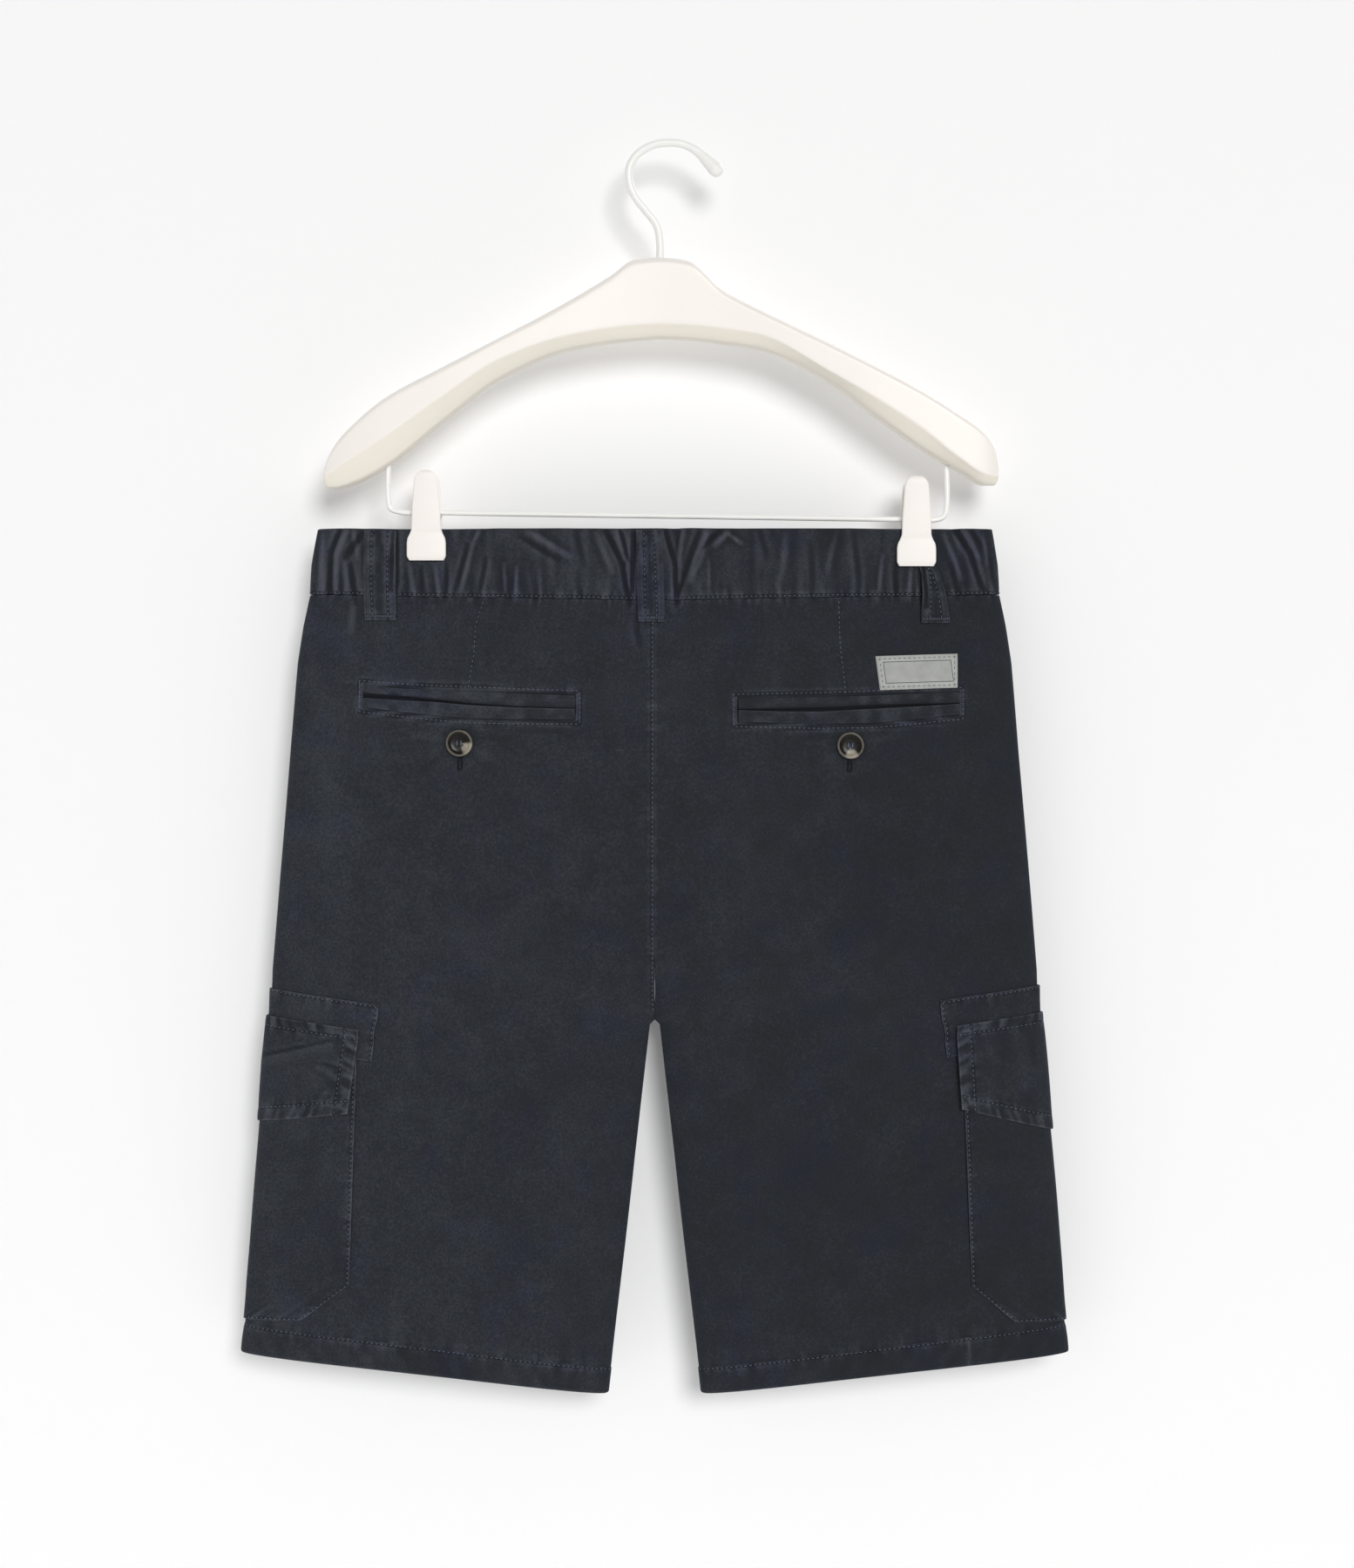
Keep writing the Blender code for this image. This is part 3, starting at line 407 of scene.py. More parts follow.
def creases(x, z, face):
    """The lift of every crease in the table, and of the slow waves."""
    lift = SWELL * wander(x / SWELL_SIZE + 20 * face, z / (1.6 * SWELL_SIZE), 3)
    for on, ax, az, bx, bz, half, height in CREASES:
        away, run = beside(x, z, ((ax, az), (bx, bz)))
        length = math.hypot(bx - ax, bz - az)
        fade = np.sin(np.pi * np.clip((run + 0.12 * length) / (1.24 * length), 0, 1)) ** 0.7
        lift = lift + (face == on) * height * fade * np.exp(-(away / half) ** 2)
    return lift


def puckers(away, run, height, reach, period, seed):
    """Small ripples square to a row of stitches, which die out within reach."""
    ripple = 0.75 * wander(run / period, away / (4 * period), seed)
    ripple = ripple + 0.45 * wander(run / (0.43 * period), away / (3 * period), seed + 1)
    return height * ripple * np.exp(-np.abs(away) / reach)


print("wander at 0.5:", round(float(wander(np.array(0.5), np.array(0.5), 3)), 3))

# %% [markdown]
# ## Finishes
# The navy cotton has been washed after sewing, so colour has left its ridges and seams and stayed in its
# hollows. Each piece of cloth carries a value called "fade" at every point, from -1 in a hollow to 1 on a
# worn ridge, and the finish turns that into colour. Besides wear, fade holds painted shade: hollows, seam
# grooves, pocket slits and the rims of every piece are painted darker, and the cloth is painted a little
# lighter towards the left as painted side light. The weave and the cloudy wash are the same on cloth and
# thread, so they are one node group.

# %% Finish helpers
CLOTH_UV = "cloth"


def new_finish(name, group=None, **values):
    """A material with a principled shader, fed by a group's Color, Roughness and Normal."""
    made = bpy.data.materials.new(name)
    made.use_nodes = True
    nodes, links = made.node_tree.nodes, made.node_tree.links
    shader = nodes["Principled BSDF"]
    if group:
        effect = nodes.new("ShaderNodeGroup")
        effect.node_tree = group
        for key, output in (("Base Color", "Color"), ("Roughness", "Roughness"), ("Normal", "Normal")):
            links.new(effect.outputs[output], shader.inputs[key])
        for key in list(values):
            if key in effect.inputs:
                effect.inputs[key].default_value = values.pop(key)
    for key, value in values.items():
        shader.inputs[key].default_value = value
    return made


def new_group(name, inputs):
    """A node group with these inputs and a finish's outputs, its wiring and its two end nodes."""
    group = bpy.data.node_groups.new(name, "ShaderNodeTree")
    for label, value in inputs.items():
        socket = "Color" if isinstance(value, tuple) else "Float"
        new_socket(group, label, "NodeSocket" + socket, value=value)
    for label, socket in (("Color", "Color"), ("Roughness", "Float"), ("Normal", "Vector")):
        new_socket(group, label, "NodeSocket" + socket, out=True)
    wiring = Wiring(group)
    return group, wiring, wiring.node("NodeGroupInput"), wiring.node("NodeGroupOutput")


# %% Washed cotton as a node group
cotton, w, given, result = new_group("washed cotton", {
    "Deep": (0.0050, 0.0055, 0.0070, 1), "Base": (0.0185, 0.0213, 0.0255, 1),
    "Faded": (0.092, 0.101, 0.120, 1), "Clouds": 0.20, "Grain": 0.42, "Thread Pitch": 0.0007})
place = w.node("ShaderNodeTexCoord").outputs["Object"]
woven = w.node("ShaderNodeUVMap", uv_map=CLOTH_UV).outputs[0]
fade = w.node("ShaderNodeAttribute", attribute_name="fade").outputs["Fac"]
clouds = w.math("SUBTRACT", w.noise(place, 48.0, 6.0, 0.68), 0.5)
grain = w.math("SUBTRACT", w.noise(place, 800.0, 3.0, 0.7), 0.5)
turns = w.math("DIVIDE", 0.444, given.outputs["Thread Pitch"])
rib = w.wave(woven, "DIAGONAL", turns, 0.6)
across_rib = w.wave(woven, "X", w.math("MULTIPLY", turns, 1.3), 0.5)
twill = w.math("ADD", w.math("MULTIPLY", rib, 0.7), w.math("MULTIPLY", across_rib, 0.3))
# fade carries wear and painted shade, so low values dye the cloth darker as painted shade in hollows.
wear_and_shade = w.math("ADD", w.math("MULTIPLY", fade, 0.5), 0.5)
wear_and_shade = w.math("ADD", wear_and_shade, w.math("MULTIPLY", clouds, given.outputs["Clouds"]))
wear_and_shade = w.math("ADD", wear_and_shade, w.math("MULTIPLY", grain, given.outputs["Grain"]))
wear_and_shade = w.math("ADD", wear_and_shade, w.math("MULTIPLY", w.math("SUBTRACT", twill, 0.5), 0.10))
low_half = w.mix(w.math("MULTIPLY", wear_and_shade, 2.0, True), given.outputs["Deep"], given.outputs["Base"])
high_half = w.math("SUBTRACT", w.math("MULTIPLY", wear_and_shade, 2.0), 1.0, True)
dyed = w.mix(high_half, low_half, given.outputs["Faded"])
tint = w.math("MULTIPLY", w.math("SUBTRACT", w.noise(place, 30.0, 4.0, 0.65), 0.50), 4.0, True)
w.links.new(w.tinted(tint, dyed, (0.97, 0.95, 1.22, 1)), result.inputs["Color"])
w.links.new(w.math("SUBTRACT", 0.93, w.math("MULTIPLY", wear_and_shade, 0.12)), result.inputs["Roughness"])
relief = w.math("ADD", w.math("MULTIPLY", twill, 0.7), w.math("MULTIPLY", grain, 0.9))
w.links.new(w.bump(relief, 0.5, 0.00012), result.inputs["Normal"])
SHEEN = {"Sheen Weight": 0.07, "Sheen Roughness": 0.55, "Sheen Tint": (0.62, 0.70, 0.85, 1),
         "Specular IOR Level": 0.10}
navy = new_finish("washed navy cotton", cotton, **SHEEN)
thread = new_finish("navy thread", cotton, Deep=(0.035, 0.040, 0.055, 1), Base=(0.115, 0.130, 0.170, 1),
                    Faded=(0.26, 0.29, 0.35, 1), Clouds=0.5, Grain=0.5, **SHEEN)
dark_thread = new_finish("dark thread", cotton, Deep=(0.004, 0.004, 0.006, 1), Base=(0.010, 0.011, 0.015, 1),
                         Faded=(0.030, 0.034, 0.045, 1), Clouds=0.5, Grain=0.5, **SHEEN)
print("cotton group:", len(cotton.nodes), "nodes")

# %% [markdown]
# ## Laying a piece of cloth
# Every piece is a closed wall between an outer and an inner skin. The outer skin rolls over at
# the edges, as folded cloth does, and a piece may add its own lift and fade from how far each
# point is from its edges. The same grid gives the lines that stitches follow later.

# %% Laying a piece of cloth
EDGE_STEPS = (0.0, 0.18, 0.45, 0.85, 1.4, 2.1)


def marks(length, step, near_ends=(True, True)):
    """Distances from 0 to length about step apart, closer together at the edges that are asked for."""
    low = list(EDGE_STEPS) if near_ends[0] else [0.0]
    high = [length - s for s in reversed(EDGE_STEPS)] if near_ends[1] else [length]
    count = max(1, round((high[0] - low[-1]) / step))
    inside = [low[-1] + (high[0] - low[-1]) * i / count for i in range(1, count)]
    return np.array(low + inside + high)


def along(points, axis):
    """Distance travelled over a grid of points along one axis."""
    steps = np.linalg.norm(np.diff(points, axis=axis), axis=-1)
    return np.concatenate([np.zeros_like(np.take(steps, [0], axis)), np.cumsum(steps, axis)], axis)


def even_shares(z, start, end, step, near_ends=(True, True)):
    """Shares of the half width from start to end that lie step mm apart over the shell at z."""
    turn = np.linspace(-math.pi / 2, math.pi / 2, 6001)
    dense = np.sin(turn)
    for _ in range(2):
        dense = np.sin(dense * math.pi / 2)
    dense = dense[(dense >= min(start, end)) & (dense <= max(start, end))]
    dense = np.unique(np.concatenate([[min(start, end)], dense, [max(start, end)]]))
    inner, outer = read(INNER_LEG, z, 1), read(OUTLINE, z, 1)
    where = np.copysign(inner + (outer - inner) * np.abs(dense), dense)
    travelled = along(shell(where, np.full_like(where, z), SEAT, 0.0), 0)
    if start > end:
        dense, travelled = dense[::-1], (travelled[-1] - travelled)[::-1]
    return np.interp(marks(travelled[-1], step, near_ends), travelled, dense)


def across_at(share, z):
    """x over the cloth for a share of the half width at height z."""
    inner, outer = read(INNER_LEG, z, 1), read(OUTLINE, z, 1)
    return np.copysign(inner + (outer - inner) * np.abs(share), share)


def new_piece(name, mesh, material):
    """An object at the origin with one finish."""
    made = bpy.data.objects.new(name, mesh)
    scene.collection.objects.link(made)
    if not mesh.materials:
        mesh.materials.append(material)
    return made


def grid_mesh(name, outer, inner, uv, fade, ring=False, sharp=60.0):
    """A closed wall between two grids, in metres, with its cloth map and its fade."""
    rows, columns = outer.shape[:2]
    index = np.arange(rows * columns).reshape(rows, columns)
    if ring:
        index = np.concatenate([index, index[:, :1]], axis=1)
    a, b, c, d = index[:-1, :-1], index[1:, :-1], index[1:, 1:], index[:-1, 1:]
    skin = np.stack([a, b, c, d], axis=-1).reshape(-1, 4)
    total = rows * columns
    rims = []
    edges = [index[0, :], index[-1, ::-1]]
    if not ring:
        edges += [index[::-1, 0], index[:, -1]]
    for edge in edges:
        rims.append(np.stack([edge[:-1], edge[1:], edge[1:] + total, edge[:-1] + total], axis=-1))
    faces = np.concatenate([skin, skin[:, ::-1] + total] + rims)
    points = np.concatenate([outer.reshape(-1, 3), inner.reshape(-1, 3)]) * MM
    middle = skin[len(skin) // 2]
    p = points[middle]
    facing = np.cross(p[1] - p[0], p[2] - p[0]) @ (p[0] - points[middle[0] + total])
    if facing < 0:
        faces = faces[:, ::-1]
    mesh = bpy.data.meshes.new(name)
    mesh.from_pydata(points.tolist(), [], faces.tolist())
    layer = mesh.uv_layers.new(name=CLOTH_UV)
    corners = np.empty(len(mesh.loops), dtype=np.int32)
    mesh.loops.foreach_get("vertex_index", corners)
    places = np.concatenate([uv.reshape(-1, 2)] * 2) * MM
    layer.data.foreach_set("uv", places[corners].astype(np.float32).ravel())
    wear_and_shade = mesh.attributes.new("fade", "FLOAT", "POINT")
    # The inner skin is painted a little darker, and its edge rows much darker, so the rims show a dark line
    # round every piece: painted shade.
    painted_rim_shade = np.full((rows, columns), -0.9)
    painted_rim_shade[1:-1, (0 if ring else 1):(columns if ring else -1)] = -0.25
    wear_and_shade.data.foreach_set("value", np.concatenate([fade.ravel(), painted_rim_shade.ravel()]).astype(np.float32))
    mesh.shade_smooth()
    mesh.set_sharp_from_angle(angle=math.radians(sharp))
    return mesh


print("edge steps", EDGE_STEPS)

# %% [markdown]
# Wear and painted shade come from the shape itself. A ridge stands above the average of the cloth around it,
# so it rubs and fades, and it is also painted lighter where it would catch the light. A hollow lies below
# that average, keeps its dye and is painted darker as painted shade. Edges fade most of all.

# %% Sewing a piece
RIDGE_RELIEF_REACH, RIDGE_RELIEF_HEIGHT, RIDGE_WEAR_AND_SHADE = 2.2, 0.34, 0.42
BROAD_TONE, PAINTED_SIDE_LIGHT = 0.05, 0.00035


def settled(lift, step, ring):
    """The lift averaged over a few millimetres all round each point."""
    for _ in range(max(1, round(1.5 * (RIDGE_RELIEF_REACH / step) ** 2))):
        wide = np.pad(lift, 1, mode="wrap" if ring else "edge")
        lift = (wide[:-2, 1:-1] + wide[2:, 1:-1] + wide[1:-1, :-2] + wide[1:-1, 2:] + wide[1:-1, 1:-1]) / 5
    return lift


def sew(name, x, z, face, out, wall, shape=None, ring=False, material=None, roll=0.9, wear=0.15):
    """Lay one piece of cloth. shape(piece) may return its own lift and fade."""
    face = np.broadcast_to(face, x.shape)
    out = np.broadcast_to(out, x.shape)
    base = shell(x, z, face, out)
    piece = {"x": x, "z": z, "face": face, "across": along(base, 1), "down": along(base, 0)}
    piece["width"], piece["height"] = piece["across"][:, -1:], piece["down"][-1:, :]
    to_side = np.minimum(piece["across"], piece["width"] - piece["across"]) if not ring else 1e3
    edge = np.minimum(to_side, np.minimum(piece["down"], piece["height"] - piece["down"]))
    piece["edge"] = edge
    lift, fade = creases(x, z, face), wear * np.exp(-(edge / 0.75) ** 2)
    if shape:
        own_lift, own_fade = shape(piece)
        lift, fade = lift + own_lift, fade + own_fade
    step = float(np.median(np.diff(piece["across"], axis=1)))
    broad = settled(lift, step, ring)
    # Ridges above the settled average are painted lighter and hollows darker: part wear, part painted shade.
    # The last term paints the cloth a little lighter towards the left and darker towards the right, as
    # painted side light.
    fade = fade + RIDGE_WEAR_AND_SHADE * np.clip((lift - broad) / RIDGE_RELIEF_HEIGHT, -1, 1) + BROAD_TONE * broad - PAINTED_SIDE_LIGHT * x
    inside = 1 - np.clip(edge / (roll * wall), 0, 1)
    rolled = wall * (1 - np.sqrt(1 - inside ** 2))
    piece["skin"], piece["normal"] = laid(x, z, face, out, lift - 0.55 * rolled)
    under, _ = laid(x, z, face, out - wall, lift + 0.25 * rolled)
    uv = np.stack([piece["across"], -piece["down"]], axis=-1)
    mesh = grid_mesh(name, piece["skin"], under, uv, np.clip(fade, -1, 1), ring)
    piece["object"] = new_piece(name, mesh, material or navy)
    return piece


print("worn within", RIDGE_RELIEF_REACH, "mm")


# %% Rows of stitches on a piece
def inside_of(piece, side):
    """How far each point lies inside one side of a piece."""
    return {"left": piece["across"], "right": piece["width"] - piece["across"],
            "head": piece["down"], "foot": piece["height"] - piece["down"]}[side]


def stitched(piece, side, inset, groove=0.22, height=0.22, reach=3.5, period=6.0, seed=11):
    """Lift and fade beside a row of stitches inset mm inside one side of a piece."""
    run = piece["down"] if side in ("left", "right") else piece["across"]
    away = inside_of(piece, side) - inset
    ripple = puckers(away, run, height, reach, period, seed)
    lift = ripple - groove * np.exp(-(away / 0.7) ** 2)
    bulge = 0.5 * groove * np.exp(-((away + inset * 0.5) / max(0.6, 0.4 * inset)) ** 2)
    # Ripple ridges are painted lighter and hollows darker, part wear and part painted shade; the groove is
    # painted dark as painted shade, with a lighter shoulder beside it.
    fade = 0.24 * ripple / max(height, 0.05) - 1.1 * groove * np.exp(-(away / 0.55) ** 2)
    return lift + bulge, fade + 0.08 * np.exp(-(np.abs(away) - 1.2) ** 2 / 0.8)


def edge_stitched(*rows):
    """A shape function for a piece with several rows of stitches along its sides."""
    def shape(piece):
        each = [stitched(piece, side, inset, height=height, period=period, seed=31 + 7 * number + len(rows))
                for number, (side, inset, height, period) in enumerate(rows)]
        return tuple(sum(part) for part in zip(*each))
    return shape


CLOTH = {}
STITCHES = {"fine": [], "bar": []}
ALL_SIDES = ("left", "right", "head", "foot")


def trace(piece, side, inset):
    """The line that runs inset mm inside one side of a piece, with its normals."""
    span, skin, normal = inside_of(piece, side), piece["skin"], piece["normal"]
    if side in ("head", "foot"):
        span, skin, normal = span.T, skin.transpose(1, 0, 2), normal.transpose(1, 0, 2)
    if side in ("right", "foot"):
        span, skin, normal = span[:, ::-1], skin[:, ::-1], normal[:, ::-1]
    columns = np.arange(span.shape[1])
    points, normals = [], []
    for row_span, row_skin, row_normal in zip(span, skin, normal):
        at = np.interp(inset, row_span, columns)
        i, share = int(min(at, columns[-1] - 1)), at - int(min(at, columns[-1] - 1))
        points.append(row_skin[i] * (1 - share) + row_skin[i + 1] * share)
        normals.append(row_normal[i] * (1 - share) + row_normal[i + 1] * share)
    return np.array(points), np.array(normals)


def stitch(line, kind="fine", skip=(0.0, 0.0)):
    """Keep a line for the stitches, without its first and last few millimetres."""
    points, normals = line
    travelled = along(points, 0)
    keep = (travelled >= skip[0]) & (travelled <= travelled[-1] - skip[1])
    STITCHES[kind].append((points[keep], normals[keep]))


print("cloth helpers ready")

# %% [markdown]
# ## Legs
# Four panels make the shorts: seat and fly, left and right. A maker joins them down the middle,
# along the sides and inside the legs. Each panel here is a grid from its inner edge to the side
# fold. Its seams pull the cloth in and ripple it, so they stand in one table that gives the line
# of each row of stitches, how deep it sinks and how far its ripples go.

# %% Seams on the panels
PANEL_WALL, PANEL_STEP, HIDDEN_STEP = 1.2, 2.0, 3.2
WELTS = {  # rows of x, top edge, slit, bottom edge and how far the slit stands open
    "left": np.array(((-180.6, -337.5, -344.0, -351.0, 3.0), (-160.0, -339.3, -345.3, -353.8, 2.7),
                      (-137.0, -340.6, -347.0, -356.2, 1.8), (-115.5, -341.3, -349.2, -358.0, 1.2),
                      (-85.0, -342.6, -351.0, -358.6, 0.6), (-49.6, -343.9, -352.0, -358.6, 0.3))),
    "right": np.array(((52.0, -346.1, -352.6, -360.2, 0.5), (78.0, -345.6, -352.8, -361.0, 2.0),
                       (103.0, -345.0, -352.6, -361.4, 2.6), (135.0, -343.9, -351.0, -361.0, 2.4),
                       (162.0, -342.8, -349.9, -358.6, 1.6), (189.0, -341.7, -348.8, -355.5, 0.4)))}
FRAME_OUT = 2.9
BUTTONS = {"left": (-120.9, -373.6), "right": (121.2, -375.0)}


def welt_frame(rows, out=FRAME_OUT):
    """The closed line round a pocket mouth, out mm outside its welts."""
    top = [(x, t + out) for x, t, _, _, _ in rows]
    foot = [(x, f - out) for x, _, _, f, _ in reversed(rows)]
    top[0], top[-1] = (top[0][0] - out, top[0][1]), (top[-1][0] + out, top[-1][1])
    foot[0], foot[-1] = (foot[0][0] + out, foot[0][1]), (foot[-1][0] - out, foot[-1][1])
    return tuple(top + foot + top[:1])


def rise(x):
    """A line down the middle of the garment, x mm beside it."""
    return ((x, -286.5), (x, -400.0), (x, -500.0), (x, -540.0))


SEAMS = (  # face, line, depth, half width, ripple height, its reach and period, stitched
    (SEAT, rise(-1.5), 0.24, 0.6, 0.34, 3.4, 4.6, True),
    (SEAT, ((-107.0, -286.0), (-111.5, -300.0), (-112.5, -318.0), (-115.8, -338.0)), 0.10, 0.4, 0.14,
     3.0, 7.0, True),
    (SEAT, ((114.6, -286.0), (115.3, -312.0), (118.8, -342.0)), 0.10, 0.4, 0.14, 3.0, 7.0, True),
    (SEAT, ((-216.0, -280.9), (0.0, -284.6), (216.0, -280.9)), 0.0, 1.0, 0.62, 3.8, 4.6, False),
    (SEAT, welt_frame(WELTS["left"]), 0.28, 0.7, 0.20, 3.0, 5.5, True),
    (SEAT, welt_frame(WELTS["right"]), 0.28, 0.7, 0.20, 3.0, 5.5, True),
    (SEAT, welt_frame(WELTS["left"], 0.2), 0.35, 0.6, 0.0, 1.0, 5.0, False),
    (SEAT, welt_frame(WELTS["right"], 0.2), 0.35, 0.6, 0.0, 1.0, 5.0, False),
    (SEAT, ((-256.1, -735.3), (-28.0, -763.0)), 0.1, 1.2, 0.42, 6.0, 8.0, False),
    (SEAT, ((256.1, -735.3), (28.0, -763.0)), 0.1, 1.2, 0.42, 6.0, 8.0, False),
    (FLY, rise(-2.6), 0.30, 0.7, 0.30, 3.4, 4.6, False),
    (FLY, rise(2.6), 0.30, 0.7, 0.30, 3.4, 4.6, True),
    (FLY, ((-216.0, -280.9), (0.0, -284.6), (216.0, -280.9)), 0.0, 1.0, 0.50, 5.5, 7.5, False),
    (FLY, ((-256.1, -735.3), (-28.0, -763.0)), 0.1, 1.2, 0.42, 6.0, 8.0, False),
    (FLY, ((256.1, -735.3), (28.0, -763.0)), 0.1, 1.2, 0.42, 6.0, 8.0, False))


print(len(SEAMS), "seams")


# %% What seams, pocket mouths and buttons do to a panel
def panel_shape(piece):
    """The lift and fade of every seam that crosses a panel."""
    x, z, face = piece["x"], piece["z"], piece["face"]
    lift, fade = np.zeros(x.shape), np.zeros(x.shape)
    for number, (on, line, depth, half, height, reach, period, _) in enumerate(SEAMS):
        if face.flat[0] != on:
            continue
        away, run = beside(x, z, line)
        ripple = puckers(away, run, height, reach, period, 50 + 3 * number)
        lift = lift + ripple - depth * np.exp(-(away / half) ** 2)
        # The seam's ripple ridges are painted lighter and hollows darker, part wear and part painted shade;
        # its groove is painted darker as painted shade, with a lighter shoulder beside it.
        fade = fade + 0.10 * ripple / max(0.2, height)
        if depth > 0.1:
            fade = fade - 0.7 * depth * np.exp(-(away / 0.6) ** 2) + 0.10 * np.exp(-(away - 1.5) ** 2 / 1.2)
    if face.flat[0] == SEAT:
        # The slit of each pocket mouth is painted very dark on the panel behind it, as painted shade in the
        # opening.
        for rows in WELTS.values():
            slit = tuple((x0, s) for x0, _, s, _, _ in rows)
            fade = fade - 1.4 * np.exp(-(beside(x, z, slit)[0] / 1.6) ** 2)
        for x0, z0 in BUTTONS.values():
            away = np.hypot(x - x0, z - z0)
            lift = lift - 0.6 * np.exp(-(away / 9.0) ** 2) + 0.35 * np.exp(-((away - 15.0) / 6.0) ** 2)
    return lift, fade


print("frame round a pocket mouth:", len(welt_frame(WELTS["left"])), "corners")


# %% Lay the four panels
def level_rows(step):
    """Pairs of heights, at the inner edge and at the fold, from the waist seam to the hem."""
    head, crotch, foot = (LEVELS[k] for k in ("panel head", "crotch", "panel foot"))
    upper, lower = head[0] - crotch[0], crotch[0] - foot[0]
    rows = [tuple(a + (b - a) * s / upper for a, b in zip(head, crotch))
            for s in marks(upper, step, (True, False))]
    fine = [0.8, 1.6, 2.4, 3.2, 4.2, 5.5, 7.2]
    rest = [7.2 + s for s in marks(lower - 7.2, step, (False, True))[1:]]
    rows += [tuple(a + (b - a) * s / lower for a, b in zip(crotch, foot)) for s in fine + rest]
    return np.array(rows)


for face, face_name in ((SEAT, "seat"), (FLY, "fly")):
    for side, side_name in ((LEFT, "left"), (RIGHT, "right")):
        step = PANEL_STEP if face == SEAT else HIDDEN_STEP
        shares = side * even_shares(-560.0, 0.0, 1.0, step)
        shares[0] = side * 1e-9
        levels = level_rows(step)
        z = levels[:, :1] + (levels[:, 1:] - levels[:, :1]) * np.abs(shares)[None, :]
        x = across_at(np.broadcast_to(shares, z.shape), z)
        name = f"leg_{face_name}_{side_name}"
        CLOTH[name] = sew(name + "_cloth", x, z, face, 0.0, PANEL_WALL, panel_shape)
        print(name, CLOTH[name]["skin"].shape)

# %% [markdown]
# ## Waistband
# The band at the seat holds elastic, which gathers it into uneven upright folds. The table of
# creases has the largest. The rest is a random ripple, stretched upright and strongest at the
# band's lower seam. The front band is plain and laps over the centre with a button.

# %% Lay the waistband
BAND_WALL, FLY_LAP, BAND_TALL, BAND_HALF, BAND_MIDDLE = 2.0, 18.0, 44.6, 214.3, -262.0


def gathers(height, seed):
    """A shape function for gathered cloth: upright ripples over its whole height."""
    def shape(piece):
        x, down, tall = piece["x"], piece["down"], piece["height"]
        share = down / tall
        ripple = 0.55 * wander(x / 9.5, share * 1.3, seed) + 0.5 * wander(x / 4.3, share * 2.2, seed + 1)
        strength = 0.45 + 0.55 * share ** 2 + 0.35 * (1 - share) ** 3
        lift, fade = stitched(piece, "foot", 1.3, groove=0.35, height=0.40, reach=4.5, period=3.6, seed=seed)
        lift = lift + height * ripple * strength
        puffed = 0.5 * np.sin(np.pi * np.clip(share, 0, 1)) ** 0.6
        # The gathers' ridges are painted lighter and their hollows darker, part wear and part painted shade.
        return lift + puffed, fade + 0.12 * ripple * strength + 0.06
    return shape


for name, face, start, end, height, seed, step in (
        ("waistband_seat", SEAT, -1.0, 1.0, 0.60, 5, 1.1),
        ("waistband_fly_left", FLY, -1.0, FLY_LAP / BAND_HALF, 0.25, 8, 2.0),
        ("waistband_fly_right", FLY, (FLY_LAP + GAP) / BAND_HALF, 1.0, 0.25, 9, 2.0)):
    shares = even_shares(BAND_MIDDLE, start, end, step)
    share_down = marks(BAND_TALL, step)[:, None] / BAND_TALL
    low = LEVELS["band foot"][0] + (LEVELS["band foot"][1] - LEVELS["band foot"][0]) * np.abs(shares)
    z = LEVELS["waist top"][0] + (low[None, :] - LEVELS["waist top"][0]) * share_down
    x = np.broadcast_to(shares, z.shape) * read(OUTLINE, z, 1)
    CLOTH[name] = sew(name + "_cloth", x, z, face, 0.0, BAND_WALL, gathers(height, seed))
    stitch(trace(CLOTH[name], "foot", 1.3), skip=(1.0, 1.0))
    print(name, CLOTH[name]["skin"].shape)
stitch(trace(CLOTH["waistband_fly_left"], "right", 2.0), skip=(2.0, 2.0))

# %% [markdown]
# ## Hems
# Each leg ends in a folded band, sewn round the whole leg. The panel above it stays flat while
# the band is a little tight, so small ripples slant across it.

# %% Lay the hems
HEM_WALL, HEM_OUT, HEM_TALL, HEM_STEP = 2.0, 0.3, 15.2, 1.2


def hem_shape(piece):
    lift, fade = stitched(piece, "head", 1.4, groove=0.30, height=0.30, reach=5.0, period=5.2, seed=21)
    slant = wander((piece["across"] + 0.5 * piece["down"]) / 7.0, piece["down"] / 12.0, 23)
    join = np.exp(-((piece["x"] - 195.2) / 1.0) ** 2) * (piece["face"] == SEAT)
    low = np.exp(-(piece["height"] - piece["down"]) / 1.5)
    # The slanting ripples' ridges are painted a little lighter and their hollows darker, part wear and part
    # painted shade.
    return lift + 0.16 * slant - 0.2 * join, fade + 0.05 * slant - 0.04 + 0.10 * low + 0.5 * join


for side, side_name in ((LEFT, "left"), (RIGHT, "right")):
    head, foot = LEVELS["hem head"], LEVELS["hem foot"]
    outward = even_shares(-762.0, 0.0, 1.0, 1.5, (False, False))
    shares = side * np.concatenate([outward, outward[-2:0:-1]])
    faces = np.concatenate([np.full(len(outward), SEAT), np.full(len(outward) - 2, FLY)])
    share_down = marks(HEM_TALL, HEM_STEP)[:, None] / HEM_TALL
    top = head[0] + (head[1] - head[0]) * np.abs(shares)
    low = foot[0] + (foot[1] - foot[0]) * np.abs(shares)
    z = top[None, :] + (low - top)[None, :] * share_down
    x = across_at(np.broadcast_to(np.where(shares == 0, side * 1e-9, shares), z.shape), z)
    name = f"hem_band_{side_name}"
    CLOTH[name] = sew(name + "_cloth", x, z, np.broadcast_to(faces, z.shape), HEM_OUT, HEM_WALL, hem_shape,
                      ring=True)
    stitch(trace(CLOTH[name], "head", 1.4))
    print(name, CLOTH[name]["skin"].shape)

